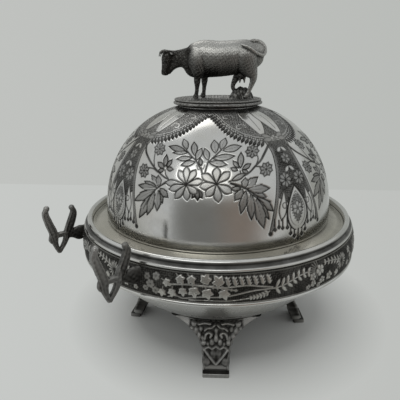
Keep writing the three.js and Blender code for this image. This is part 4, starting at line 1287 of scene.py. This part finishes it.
def stamped_band():
    """The outside as rows up the band by columns round it: the plain band's radius, less a
    sunken ground, plus the rise of the pattern and the edge borders."""
    rows = np.linspace(0, 1, BAND_ROWS)
    height = rows * (WALL_TOP - BAND_BOTTOM)
    bearing = BAND_START + np.arange(BAND_STEPS) / BAND_STEPS * 90
    x = np.broadcast_to(np.radians(bearing) * BAND_RADIUS, (BAND_ROWS, BAND_STEPS))
    y = np.broadcast_to(height[:, None], x.shape)
    work = Stamping(x, y)
    roses_and_ivy(work)
    ferns_and_fronds(work)
    blossoms_and_rays(work)
    rise = work.rise.reshape(x.shape)
    pebble = dots(x, y, 1.0, 0.7, 4) * (1 - rise)
    border = np.clip(1.3 - np.minimum(y, height[-1] - y) / 0.45, 0, 1)
    lift = np.maximum(np.maximum(rise, PEBBLE_RISE * pebble), border)
    radius = BAND_RADIUS - BAND_TAPER * rows + 4 * BAND_SWELL * (rows * (1 - rows))
    radius = radius[:, None] - GROUND_DEPTH * (1 - lift)
    tarnish = 1.0 - np.clip(rise * 1.1, 0, 1) - 0.16 * pebble - 0.5 * border * (1 - rise)
    return height, np.tile(radius, (1, 4)), np.tile(tarnish, (1, 4))


band_height, band_radius, band_tarnish = stamped_band()
turns = np.radians(BAND_START + np.arange(4 * BAND_STEPS) / BAND_STEPS * 90)
behind = np.full((2, len(turns)), WALL_RADIUS + GAP)
all_radius = np.concatenate([band_radius, behind])
all_height = np.concatenate([band_height, band_height[[-1, 0]]]) + BAND_BOTTOM
band_grid = np.stack([all_radius * np.sin(turns), -all_radius * np.cos(turns),
                      np.broadcast_to(all_height[:, None], all_radius.shape)], axis=-1)
band = mesh_from("stamped_band", band_grid, grid_faces(*all_radius.shape, True, True), 70,
                 tarnish=np.concatenate([band_tarnish, np.full_like(behind, 0.6)]))
dress(band, stamped_silver, "base", "silver_plate", "ornament_band")

# %% [markdown]
# The feet, the knife rests and the cow are castings: full, rounded, and dark in their folds.
# The rests and the cow are modelled as overlapping closed skins, melted into one by a voxel
# remesh, the same thing that a modeller's wax does. Their folds are then found by measuring
# how far each point lies below its neighbours, and those points get their tarnish. The feet
# need no melting: a foot is one skin whose face is worked out from a formula.

# %% Tools for castings
FOLD_ROUNDS = 6


def point_neighbours(mesh):
    """The two points of every edge."""
    edges = np.empty(2 * len(mesh.edges), np.int32)
    mesh.edges.foreach_get("vertices", edges)
    return edges.reshape(-1, 2)


def smoothed(place, edges, rounds, share):
    """Each point moved, in each round, a share of the way to the mean of the points that
    share an edge with it."""
    count = np.bincount(edges.ravel(), minlength=len(place)).astype(float)
    for _ in range(rounds):
        total = np.zeros_like(place)
        np.add.at(total, edges[:, 0], place[edges[:, 1]])
        np.add.at(total, edges[:, 1], place[edges[:, 0]])
        place = place + share * (total / np.maximum(count, 1)[:, None] - place)
    return place


def points_of(mesh):
    """The points of a mesh in millimetres."""
    flat = np.empty(3 * len(mesh.vertices), np.float32)
    mesh.vertices.foreach_get("co", flat)
    return flat.reshape(-1, 3).astype(float) / MILLIMETRE


def moved_to(mesh, place):
    """Moves the points of a mesh to their places and gives back its normals there."""
    mesh.vertices.foreach_set("co", (place * MILLIMETRE).astype(np.float32).ravel())
    mesh.update()
    flat = np.empty(3 * len(mesh.vertices), np.float32)
    mesh.vertex_normals.foreach_get("vector", flat)
    return flat.reshape(-1, 3).astype(float)


def cast(name, shells, *, voxel, rounds, relief, gain, base, wear_and_light):
    """Melts closed shells into one skin, smooths it, adds relief along its normals and sets how
    dark each point is: the base and the gain times the hollow, less what the last argument gives
    each point, which on the cow is wear with a painted highlight."""
    wax = mesh_from(name + "_wax", *joined(*shells))
    remesh = wax.modifiers.new("melt", "REMESH")
    remesh.mode = "VOXEL"
    remesh.voxel_size = voxel * MILLIMETRE
    graph = bpy.context.evaluated_depsgraph_get()
    melted = bpy.data.meshes.new_from_object(wax.evaluated_get(graph))
    bpy.data.objects.remove(wax)
    edges = point_neighbours(melted)
    place = smoothed(points_of(melted), edges, rounds, 0.5)
    normal = moved_to(melted, place)
    place = place + normal * relief(place)[:, None]
    normal = moved_to(melted, place)
    wide = smoothed(place, edges, FOLD_ROUNDS, 0.6)
    hollow = ((wide - place) * normal).sum(axis=1)
    tarnish = np.clip(base + gain * hollow - wear_and_light(place), 0.0, 1.0)
    attribute = melted.attributes.new("tarnish", "FLOAT", "POINT")
    attribute.data.foreach_set("value", tarnish.astype(np.float32))
    melted.polygons.foreach_set("use_smooth", np.ones(len(melted.polygons), bool))
    melted.name = name
    piece = bpy.data.objects.new(name, melted)
    bpy.context.scene.collection.objects.link(piece)
    return piece


def limb(rings, side=(0.0, 1.0, 0.0), sides=20, steps=6, power=2.0):
    """A closed skin through oval rings [x, y, z, across, along] along a smooth path. Around a
    ring, across |cos a|^(2/p) and along |sin a|^(2/p): 2 makes an oval, more a squarer bar."""
    path = smooth_path(rings, steps)
    centre, size = path[:, :3], path[:, 3:]
    ahead = np.gradient(centre, axis=0)
    ahead /= np.linalg.norm(ahead, axis=1, keepdims=True)
    across = np.array(side) - (ahead @ np.array(side))[:, None] * ahead
    across /= np.linalg.norm(across, axis=1, keepdims=True)
    upward = np.cross(ahead, across)
    a = full_turn(sides)
    c = np.sign(np.cos(a)) * np.abs(np.cos(a)) ** (2 / power)
    s = np.sign(np.sin(a)) * np.abs(np.sin(a)) ** (2 / power)
    grid = (centre[:, None] + across[:, None] * (size[:, :1] * c)[..., None]
            + upward[:, None] * (size[:, 1:2] * s)[..., None])
    ends = np.stack([np.broadcast_to(grid[k].mean(axis=0), grid[k].shape) for k in (0, -1)])
    grid = np.concatenate([ends[:1], grid, ends[1:]])
    return grid.reshape(-1, 3), grid_faces(*grid.shape[:2], False, True)


def ball(centre, radii, steps=16):
    """A closed oval ball: centre + radii * (sin p cos a, sin p sin a, cos p)."""
    p = np.linspace(0.0, np.pi, steps)[:, None]
    a = full_turn(2 * steps)[None, :]
    unit = np.stack([np.sin(p) * np.cos(a), np.sin(p) * np.sin(a), np.cos(p) + 0 * a], axis=-1)
    grid = np.array(centre) + np.array(radii) * unit
    return grid.reshape(-1, 3), grid_faces(steps, 2 * steps, False, True)


def rough(place, pitch, seed=0.0):
    """Smooth random bumps between -1 and 1: the mean of eight turned and shifted sine waves."""
    total = np.zeros(len(place))
    for k in range(8):
        way = np.array([np.sin(2.1 * k + seed), np.cos(1.7 * k + seed),
                        np.sin(3.3 * k + 1 + seed)])
        way /= np.linalg.norm(way)
        total += np.sin(place @ way * 2 * np.pi / (pitch * (0.7 + 0.1 * k)) + 1.9 * k + seed)
    return total / 4


def swung(points, angle):
    """Points turned about the Z axis by an angle in radians."""
    c, s = np.cos(angle), np.sin(angle)
    x, y, z = (points[..., k] for k in range(3))
    return np.stack([x * c - y * s, x * s + y * c, z], axis=-1)


print("casting tools ready")

# %% [markdown]
# Each foot leans out from a square sole and spreads into two wings that hug the bowl. Its face
# is one function of height and of the distance to the side, so the ridges, the shield, the
# palmette, the bosses and the beads are all bumps on it, and the highest one wins. Just over
# the toe a plain step is painted bright against the shade of the ledge, and the plain wings
# are painted light, with a painted shadow along their top edge under the bowl. The back of the
# foot follows the bowl. Face and back are joined into a closed skin, row by row.

# %% The feet
FOOT_HEIGHT = 20.4
FOOT_REACH = 60.6
FOOT_BEARINGS = {"right": 4.0, "back": 88.0, "left": 172.0, "front": 270.0}
FOOT_ROWS = 96
FOOT_COLUMNS = 170
LEG_TOP = 10.4
SPREAD_FROM = -16.6
TOE_TOP = -17.9
SOLE_HALF = 7.75
WING_HALF = 26.5
FACE_SETBACK = 2.4
SOLE_DEPTH = 7.0
LEG_DEPTH = 6.4
FOOT_EDGE = 0.9


def bump(x, y, at, size, squash):
    """A rounded boss: sqrt(1 - d d) inside its edge, where d is the distance over its size."""
    gap = np.hypot((x - at[0]) / size, (y - at[1]) / (size * squash))
    return np.sqrt(np.clip(1 - gap ** 2, 0, 1))


def ridge(x, y, points, width):
    """A rounded wire along a smooth path, 1 on its top."""
    gap, _ = nearest_on(smooth_path(points), x.ravel(), y.ravel())
    return np.sqrt(np.clip(1 - (2 * gap.reshape(x.shape) / width) ** 2, 0, 1))


FOOT_RIDGES = [
    (1.3, 1.6, [(0.0, -14.1), (3.4, -10.4), (6.9, -6.2)]),
    (1.1, 1.3, [(6.9, -6.2), (4.5, -5.0), (2.2, -5.8), (0.0, -4.6)]),
    (1.3, 1.7, [(6.6, -0.8), (5.8, 1.4), (4.0, 2.2), (2.6, 1.2), (3.4, 0.0)]),
    (1.1, 1.5, [(0.8, 5.8), (2.6, 4.6), (5.0, 4.3), (6.6, 3.2)]),
    (1.3, 1.8, [(3.6, 6.5), (6.6, 6.9), (10.2, 6.3)]),
    (0.9, 0.9, [(4.0, 9.0), (15.2, 8.9)]),
]
FOOT_BOSSES = [
    (0.8, 5.4, -13.0, 2.2, 1.0), (0.5, 1.6, -8.6, 1.7, 1.4), (1.4, 7.2, -2.8, 1.6, 1.0),
    (1.0, 0.0, 3.0, 1.1, 1.7), (1.2, 0.0, -0.6, 1.5, 1.5), (1.1, 2.4, -2.6, 1.5, 1.2),
    (0.9, 4.8, -3.4, 1.0, 1.0), (1.7, 12.9, 6.7, 1.8, 1.0), (1.0, 14.4, 4.0, 1.5, 1.2),
    (1.1, 11.7, 3.3, 1.7, 1.2), (0.9, 8.9, 3.9, 1.3, 1.2), (1.1, 9.9, 0.6, 1.4, 1.5),
    (0.8, 7.9, -0.6, 1.0, 1.4), (1.0, 1.5, 8.6, 1.2, 1.1),
]


def foot_relief(y, z, half):
    """Raised work on the face of a foot, in millimetres over a sunken ground: a border, the
    ridges (height, width, path) and the bosses (height, y, z, size, squash)."""
    y = np.abs(y)
    border = np.clip(1 - np.abs(half - 0.7 - y) / 0.7, 0, 1) * (z > TOE_TOP + 0.8)
    shapes = [0.9 * np.sqrt(border)]
    for height, width, path in FOOT_RIDGES:
        shapes.append(height * ridge(y, z, path, width))
    for height, at_y, at_z, size, squash in FOOT_BOSSES:
        shapes.append(height * bump(y, z, (at_y, at_z), size, squash))
    return np.maximum.reduce(shapes) * (y < 15.8)


def worn_and_lit_foot(y, z, raised, sole):
    """Dark ground under bright work, a bright toe and a dark line over the toe. The plain wings
    are painted light, with a painted shadow along their top edge under the bowl, and the step
    over the toe is painted bright against the shade of the ledge.
    """
    # Painted light on the plain wings, with a painted shadow along their top edge under the bowl.
    lit_wing = np.clip((np.abs(y) - 15.0) / 1.4, 0, 1) * (z < LEG_TOP - 0.6)
    mottle = 0.14 * np.sin(1.3 * y + 0.9 * z) * np.sin(1.1 * y - 1.7 * z)
    tarnish = np.clip(0.95 - 0.58 * raised + mottle, 0.25, 0.95) * (1 - 0.8 * lit_wing)
    # Painted light on the step over the toe, against the shade of the ledge.
    lit_step = np.clip(1.8 - 1.2 * np.abs(z - TOE_TOP - 1.6) / 1.4, 0, 1)
    tarnish = tarnish * (1 - 0.85 * lit_step)
    tarnish = np.where(sole, 0.06 + 0.6 * mottle, tarnish)
    return np.where(np.abs(z - TOE_TOP - 0.15) < 0.2, 0.9, tarnish)


def foot_skin():
    """The foot that reaches out along +X, as a closed loop round it at every height."""
    z = np.concatenate([np.linspace(-FOOT_HEIGHT, TOE_TOP - 0.5, 9),
                        np.linspace(TOE_TOP - 0.4, TOE_TOP, 6),
                        np.linspace(TOE_TOP + 0.05, LEG_TOP, FOOT_ROWS - 15)])[:, None]
    t = np.clip((z - SPREAD_FROM) / (LEG_TOP - SPREAD_FROM), 0, 1)
    half = SOLE_HALF + (WING_HALF - SOLE_HALF) * t ** 3.4
    half = half + 0.2 * np.sin(1.3 * z) * (t > 0) * (t < 0.8)
    y = half * np.linspace(-1, 1, FOOT_COLUMNS)[None, :]
    face_top = np.sqrt(BOWL_CURVE ** 2 - (BOWL_CENTRE - LEG_TOP) ** 2) - 4
    face = (FOOT_REACH - FACE_SETBACK) * (1 - t) + face_top * t + 4 * 1.2 * t * (1 - t)
    shell = BOWL_CURVE ** 2 - (BOWL_CENTRE - z) ** 2 - y ** 2
    bowl_x = np.where((shell > 0) & (z > 0.0), np.sqrt(np.maximum(shell, 0)), -100.0)
    ground = np.maximum(face, bowl_x + 1.5) - 0.7
    sole = z < TOE_TOP + 0.01
    raised = foot_relief(y, np.broadcast_to(z, y.shape), half)
    past_edge = np.maximum(np.abs(y) - half + FOOT_EDGE, 0) / FOOT_EDGE
    edge = np.sqrt(np.clip(1 - past_edge ** 2, 0, 1))
    lip = np.sqrt(np.clip(1 - (np.maximum(z - TOE_TOP + 0.4, 0) / 0.4) ** 2, 0, 1))
    on_leg = ground + raised - FOOT_EDGE * (1 - edge)
    on_sole = FOOT_REACH - FOOT_EDGE * (1 - edge) - 0.4 * (1 - lip)
    front = np.where(sole, on_sole, on_leg)
    back = np.where(sole, FOOT_REACH - SOLE_DEPTH, face - LEG_DEPTH)
    back = np.minimum(np.maximum(back, bowl_x + 0.12), front - 0.25)
    loop_x = np.concatenate([front, back[:, ::-1]], axis=1)
    loop_y = np.concatenate([y, y[:, ::-1]], axis=1)
    grid = np.stack([loop_x, loop_y, np.broadcast_to(z, loop_x.shape)], axis=-1)
    count = grid.shape[1]
    sides = grid_faces(len(z), count, False, True)
    i = np.arange(FOOT_COLUMNS - 1)
    lid = np.stack([i, i + 1, count - 2 - i, count - 1 - i], axis=-1)
    faces = np.concatenate([sides, lid[:, ::-1], lid + (len(z) - 1) * count])
    face_tarnish = worn_and_lit_foot(y, z, raised, sole)
    return grid, faces, np.concatenate([face_tarnish, np.full(y.shape, 0.8)], axis=1)


foot_grid, foot_faces, foot_tarnish = foot_skin()
for side, degrees in FOOT_BEARINGS.items():
    foot = mesh_from("winged_foot_" + side, swung(foot_grid, np.radians(degrees)), foot_faces, 60,
                     tarnish=foot_tarnish)
    dress(foot, cast_silver, "base", "cast_silver", "foot_" + side)

# %% [markdown]
# A knife rest is a V of two prongs on an arm that grips the band. Every bar of it has rolled
# edges with a slightly hollow face between them, so each is made of two rods and a web a
# little thinner than they are, all three following the same smooth path.

# %% The knife rests
REST_BEARING = np.radians(218.5)
REST_REACH = 90.1
REST_SPREAD = 35.0
REST_HEIGHT = 54.7
REST_THICKNESS = 3.4


def rolled_bar(stations, roll=0.45, thick=REST_THICKNESS / 2):
    """Stations [x, z, width] of a flat bar. The rods run at +-(width/2 - roll) from its middle
    line, square to it, and the web fills the space between them."""
    path = smooth_path(stations, 6)
    ahead = np.gradient(path[:, :2], axis=0)
    ahead /= np.linalg.norm(ahead, axis=1, keepdims=True)
    square = np.stack([-ahead[:, 1], ahead[:, 0]], axis=-1)
    half = path[:, 2] / 2
    rod, web = np.minimum(roll, half), half - 0.2
    shells = []
    for side, along, across in ((-1, rod, thick), (0, web, 0.95 * thick), (1, rod, thick)):
        middle = path[:, :2] + square * (side * np.maximum(half - roll, 0.0))[:, None]
        rings = np.stack([middle[:, 0], 0 * half, middle[:, 1], np.full_like(half, across),
                          along], axis=-1)
        shells.append(limb(rings, steps=1, sides=14))
    return shells


def rest_shells():
    """Outer prong, inner prong, crossbar, arm, the leaf under the outer prong and two tips."""
    outer = rolled_bar([(3.2, -11, 2.0), (5, -5, 3.4), (5.3, 1.2, 4.8), (7.3, 7.8, 4.6),
                        (8.8, 13.9, 3.8), (8.1, 17.2, 2.4)])
    inner = rolled_bar([(3.2, -11, 2.0), (-0.8, -5, 2.8), (-3.2, 1.2, 4.4), (-5.8, 6.9, 4.6),
                        (-7.7, 12.3, 3.8), (-7.2, 15.2, 2.4)])
    bar = rolled_bar([(3.6, 0, 2.8), (0.4, 0, 3.2), (-3.0, 0, 2.6)], 0.5)
    leaf = rolled_bar([(5.4, -5.4, 1.4), (7.0, -2.4, 3.2), (6.7, 1.2, 2.0)], 0.5, 1.3)
    arm = [limb([(-2, 0, -0.8, 1.5, 1.8), (-6.5, 0, -0.8, 1.6, 3.2), (-10, 0, -1.3, 1.6, 4.6),
                 (-12.4, 0, -1.2, 1.6, 4.2), (-14.2, 0, -1.2, 1.6, 4.1)], power=3.0)]
    tips = [ball((7.8, 0, 17.4), (1.8, 1.7, 1.8)), ball((-6.9, 0, 15.4), (1.8, 1.7, 1.8)),
            ball((3.2, 0, -10.6), (1.0, 1.3, 1.1))]
    return outer + inner + bar + leaf + arm + tips


def placed_rest(side):
    """The rest moved out to the band and turned to its bearing; side -1 is the left one."""
    place = (REST_REACH, side * REST_SPREAD, REST_HEIGHT)
    return [(swung(points + place, REST_BEARING), faces) for points, faces in rest_shells()]


def rest_relief(place):
    """The skin of sand casting, five hundredths of a millimetre high."""
    return 0.05 * rough(place, 2.2)


def prongs_lighter_upwards(place):
    """The prongs are lighter and lighter upwards; the arm beside the band is darkened."""
    from_axis = np.hypot(place[:, 0], place[:, 1])
    return 0.24 * np.clip((place[:, 2] - REST_HEIGHT) / 16.0, -0.3, 1) - 0.30 * (from_axis < 94.0)


for side, name in ((-1, "left"), (1, "front")):
    rest = cast("knife_rest_casting_" + name, placed_rest(side), voxel=0.30, rounds=5,
                relief=rest_relief, gain=3.6, base=0.62, wear_and_light=prongs_lighter_upwards)
    dress(rest, cast_silver, "base", "cast_silver", "knife_rest_" + name)

# %% [markdown]
# The finial stands on a turned collar with a round plate over it. The plate's top is chased to
# look like grass, with a rock under the cow's hindquarters: both are heights added to a flat
# disc of points, rings from the middle outwards. Its rim is a little uneven, as a cast one is.

# %% The collar
COLLAR_FOOT = 23.2
COLLAR_INNER = 22.0


def dome_height(radius):
    """The height of the dome's outside at a distance from the axis."""
    across = (radius / DOME_RADIUS) ** DOME_POWER
    return DOME_BASE + DOME_HEIGHT * (1 - across) ** (1 / DOME_POWER)


collar_foot = dome_height(COLLAR_FOOT) + 0.05
collar_inner_foot = dome_height(COLLAR_INNER) + 0.05
rise = np.linspace(0, 1, 12)
neck = np.stack([COLLAR_FOOT + 2.6 * rise ** 2.2,
                 collar_foot + rise * (COLLAR_TOP - 1.7 - collar_foot)], -1)
collar_section = np.concatenate([
    [(COLLAR_INNER, collar_inner_foot)], neck,
    circle_arc((25.9, COLLAR_TOP - 1.05), 0.7, -80, 70, 8),
    [(26.1, COLLAR_TOP - 0.28), (25.6, COLLAR_TOP), (COLLAR_INNER, COLLAR_TOP)]])
collar_points, collar_faces = turned(collar_section)
speckle = rough(collar_points, 1.3, 4.0) + rough(collar_points, 0.7, 9.0)
collar = mesh_from("finial_neck", collar_points, collar_faces, crease=45,
                   tarnish=np.clip(0.40 + 0.30 * speckle, 0.1, 0.95))
dress(collar, cast_silver, "cover", "silver_plate", "finial_collar")

# %% The plinth
PLINTH_RADIUS = 26.0
PLATE_RINGS = 150
PLATE_STEPS = 420
ROCK_CENTRE = (14.2, 1.8)
ROCK_SIZE = (7.4, 5.6)
ROCK_HEIGHT = 6.4


def grassy_plate():
    """Rows of points: the top from its middle to its edge, a rolled edge, the underside."""
    angle = full_turn(PLATE_STEPS)
    top = np.linspace(NEAR_AXIS, PLINTH_RADIUS - 0.5, PLATE_RINGS)
    edge = circle_arc((PLINTH_RADIUS - 0.5, PLINTH_TOP - 0.55), 0.5, 70, -85, 8)
    under = np.array([(PLINTH_RADIUS - 1.4, PLINTH_BOTTOM), (NEAR_AXIS, PLINTH_BOTTOM)])
    radius = np.concatenate([top, edge[:, 0], under[:, 0]])[:, None]
    uneven = 1 + 0.003 * np.sin(11 * angle + 1.0) + 0.003 * np.sin(29 * angle)
    radius = radius * uneven
    x, y = radius * np.sin(angle), -radius * np.cos(angle)
    flat = np.stack([x, y, 0 * x], axis=-1).reshape(-1, 3)
    blades = (rough(flat, 1.7, 3.0) + 0.8 * rough(flat, 0.95, 5.0)).reshape(x.shape)
    inside = np.clip((PLINTH_RADIUS - 1.2 - radius) / 0.8, 0, 1)
    gap = np.hypot((x - ROCK_CENTRE[0]) / ROCK_SIZE[0], (y - ROCK_CENTRE[1]) / ROCK_SIZE[1])
    rock = np.clip(1 - gap ** 2.4, 0, 1) ** 0.8 * ROCK_HEIGHT
    rock = rock * (1 + 0.10 * rough(flat, 3.1, 1.0).reshape(x.shape))
    level = np.full(PLATE_RINGS, PLINTH_TOP - 0.18)
    heights = np.concatenate([level, edge[:, 1], under[:, 1]])[:, None]
    on_top = np.arange(len(heights))[:, None] < PLATE_RINGS
    z = heights + np.where(on_top, inside * (0.17 * blades + rock), 0)
    grid = np.stack([x, y, z], axis=-1)
    tarnish = np.clip(0.60 - 0.38 * blades * inside, 0.1, 0.95)
    speckle = rough(grid.reshape(-1, 3), 0.8, 6.0).reshape(x.shape)
    rim_tarnish = np.clip(0.34 + 0.34 * speckle, 0.0, 0.9)
    tarnish = np.where(on_top & (radius < PLINTH_RADIUS - 1.0), tarnish, rim_tarnish)
    return grid, np.where(rock > 0.4, np.clip(tarnish + 0.22, 0, 0.95), tarnish)


plate_grid, plate_tarnish = grassy_plate()
plinth = mesh_from("grassy_plinth", plate_grid, grid_faces(*plate_grid.shape[:2], True, True), 50,
                   tarnish=plate_tarnish)
dress(plinth, cast_silver, "cover", "cast_silver", "finial_plinth")

# %% [markdown]
# The cow is the handle. She is built from limbs and ovals in the order in which a modeller
# adds wax: barrel, haunch, shoulder and neck, then the hanging head, the four legs, the udder
# and the tail that is thrown over her back. Lengths are those measured on the photograph.

# %% The cow
COW_GROUND = PLINTH_TOP + GAP
COW_SHARE = 0.985


def both_sides(rings):
    """A limb and its mirror image on the far side."""
    far = np.array(rings, float) * (1, -1, 1, 1, 1)
    return [limb(rings), limb(far)]


def cow_body():
    """Barrel, haunches and shoulders of a cow on z = 0, facing -X, her near side at -Y."""
    barrel = limb([(-17.4, 0, 20.2, 3.0, 5.6), (-14.6, 0, 21.0, 5.0, 9.2),
                   (-8.5, 0, 22.4, 7.0, 10.6), (0, 0, 22.4, 8.2, 10.2), (8, 0, 23, 8.0, 9.8),
                   (16, 0, 24.2, 7.1, 9.1), (20.8, 0, 25.2, 6.0, 7.8), (24.4, 0, 27.0, 4.5, 4.9),
                   (26.6, 0, 27.8, 2.4, 2.6)], sides=36)
    haunches = both_sides([(14.8, -3.4, 29.2, 2.7, 4.4), (15.4, -4.5, 24.0, 3.7, 7.0),
                           (17.0, -4.4, 18.5, 3.1, 6.0), (19.4, -4.2, 12.6, 1.7, 2.4)])
    shoulders = both_sides([(-11.4, -3.4, 28.2, 2.2, 3.4), (-11.9, -4.5, 22.5, 2.9, 5.5),
                            (-11.3, -4.4, 16.8, 2.6, 4.6), (-11.6, -4.2, 11.8, 1.5, 2.0)])
    return [barrel] + haunches + shoulders


def cow_head():
    """Neck, brisket, head, jaw and horns, and an ear, an eye and a nostril on each side."""
    neck = limb([(-9, 0, 22.8, 5.0, 9.6), (-15.5, 0, 22.4, 4.0, 8.6), (-19.5, 0, 22.9, 3.4, 5.9),
                 (-24.5, 0, 23.3, 2.9, 4.3), (-29, 0, 24.2, 2.6, 3.3)], sides=28)
    head = limb([(-28.9, 0, 27.6, 1.7, 1.8), (-29.3, 0, 25.2, 2.9, 3.2),
                 (-29.7, 0, 22.4, 3.1, 3.5), (-30.2, 0, 19.4, 2.5, 3.0),
                 (-31.0, 0, 16.4, 2.0, 2.4), (-31.4, 0, 14.2, 2.1, 2.2),
                 (-31.5, 0, 13.2, 1.5, 1.5)], sides=28)
    brisket = limb([(-18.2, 0, 19.8, 2.2, 3.2), (-14.8, 0, 16.4, 3.2, 4.2),
                    (-11.0, 0, 14.8, 3.4, 3.2)])
    jaw = limb([(-22.4, 0, 20.9, 2.5, 3.1), (-25.4, 0, 19.7, 2.3, 2.7),
                (-27.8, 0, 17.4, 1.9, 2.1), (-29.8, 0, 14.7, 1.5, 1.7)])
    shells = [neck, brisket, head, jaw]
    shells += both_sides([(-29.4, -1.4, 26.6, 1.0, 1.0), (-31.2, -3.0, 27.2, 0.85, 0.85),
                          (-33.4, -3.4, 26.2, 0.65, 0.65), (-34.2, -2.9, 23.6, 0.28, 0.28)])
    for side in (-1, 1):
        ear = [(-27.4, side * 2.2, 25.6, 0.6, 0.7), (-26.8, side * 3.7, 25.4, 0.55, 1.3),
               (-26.3, side * 5.4, 24.8, 0.3, 0.5)]
        shells.append(limb(ear, side=(0.5, 0, 0.9)))
        shells.append(ball((-30.9, side * 2.55, 22.9), (0.75, 0.55, 0.75), 10))
        shells.append(ball((-32.6, side * 1.0, 14.6), (0.7, 0.5, 0.5), 8))
    return shells


def cow_legs():
    """Four legs in mid-stride: the far fore leg is the near one moved back."""
    near_fore = [(-11.4, -3.6, 18, 2.4, 3.7), (-11.9, -4.0, 12.6, 1.8, 2.3),
                 (-12.1, -4.1, 9.2, 1.6, 1.9), (-12.2, -4.1, 6.6, 1.25, 1.35),
                 (-12.5, -4.1, 3.0, 1.15, 1.2), (-12.9, -4.1, 1.5, 1.45, 1.6),
                 (-13.2, -4.1, 0.05, 1.5, 1.8)]
    far_fore = [(x + 4.0, -y, z, a, b) for x, y, z, a, b in near_fore]
    near_hind = [(16.6, -3.4, 24, 3.2, 6.0), (18.2, -3.9, 18.2, 2.9, 4.9),
                 (20.3, -4.2, 13.0, 1.9, 2.7), (20.4, -4.2, 10.4, 1.6, 2.0),
                 (19.5, -4.2, 7.4, 1.3, 1.5), (17.9, -4.2, 3.6, 1.15, 1.25),
                 (16.9, -4.2, 1.7, 1.5, 1.6), (16.2, -4.2, 0.05, 1.5, 1.9)]
    far_hind = [(15, 3.4, 22, 2.8, 5.0), (13.2, 3.9, 15.5, 2.4, 3.5), (10.2, 4, 10, 1.6, 1.9),
                (9, 4, 6.6, 1.2, 1.35), (10.0, 4, 3.8, 1.2, 1.3), (11.2, 4, 1.6, 1.3, 1.5)]
    return [limb(rings) for rings in (near_fore, far_fore, near_hind, far_hind)]


def cow_udder_and_tail():
    """An udder with four teats, and the tail thrown over her back."""
    shells = [ball((14.0, 0, 13.8), (3.4, 3.5, 3.1))]
    for x in (13.0, 15.6):
        for y in (-1.5, 1.5):
            teat = [(x, y, 12, 0.9, 0.9), (x, y, 9.2, 0.55, 0.55), (x, y, 8.3, 0.25, 0.25)]
            shells.append(limb(teat, sides=12))
    tail = [(18.5, 0, 32.4, 1.1, 1.1), (22.6, 0, 32.3, 1.1, 1.1), (25.8, -0.4, 30.6, 1.1, 1.1),
            (27.2, -1.5, 27.2, 1.05, 1.05), (25.8, -4.0, 24.4, 1.0, 1.0),
            (21.8, -6.4, 25.6, 1.0, 1.0), (17.4, -7.4, 28.4, 1.0, 1.0),
            (12.8, -7.2, 30.2, 0.8, 0.6)]
    return shells + [limb(tail, sides=14)]


def cow_shells():
    """The whole cow, set on the plate."""
    shells = cow_body() + cow_head() + cow_legs() + cow_udder_and_tail()
    return [(points * (1, 1, COW_SHARE) + (0, 0, COW_GROUND), faces) for points, faces in shells]


def hide(place):
    """Short hair: fine ripples that are stretched along the body."""
    return 0.05 * (rough(place * (0.6, 1.0, 1.0), 0.95, 2.0) + rough(place, 0.75, 7.0))


def worn_and_lit_hide(place):
    """What handling has rubbed off, together with a painted highlight: most along the upper
    flank, where the painted highlight lies, some on the lower flank and down the near hind leg.
    The neck, the head and the fore legs are darkened instead."""
    x, y = place[:, 0], place[:, 1]
    height = place[:, 2] - COW_GROUND
    body = np.clip((x + 16.5) / 3.0, 0, 1)
    flank = np.clip((height - 13.0) / 8.0, 0, 1)
    along_back = np.clip((height - 30.5) / 2.0, 0, 1)
    # Painted highlight along the upper flank, on top of handling wear.
    upper_flank = np.clip((height - 23.0) / 5.0, 0, 1) * (1 - 0.6 * along_back)
    upper_flank = upper_flank * (1 - 0.6 * np.clip((x - 9.0) / 7.0, 0, 1))
    hind_leg = np.clip((x - 14.0) / 4.0, 0, 1) * (y < 0)
    fore_leg = (1 - flank) * (x < 0)
    rubbed = body * (0.30 * flank + 0.50 * upper_flank) + 0.22 * hind_leg * (1 - flank)
    return rubbed - 0.10 * (1 - body) - 0.18 * fore_leg


cow = cast("cow_finial", cow_shells(), voxel=0.34, rounds=7, relief=hide, gain=4.5, base=0.90,
           wear_and_light=worn_and_lit_hide)
dress(cow, hide_silver, "cover", "cast_silver", "cow")

# %% [markdown]
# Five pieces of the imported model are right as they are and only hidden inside: the pierced
# drainer, the ring inside the cover's edge, and the stud, washer and nut that hold the finial.
# They keep their shapes and get the finishes of their slots.

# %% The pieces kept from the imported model
for name, material in (("drainer", polished_silver), ("cover_bezel", polished_silver),
                       ("finial_stud", plain_steel), ("finial_washer", plain_steel),
                       ("finial_nut", plain_steel)):
    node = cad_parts[name]
    node.data.materials.clear()
    node.data.materials.append(material)
    print(name, "keeps its shape")

# %% The view transform
bpy.context.scene.view_settings.view_transform = "Standard"
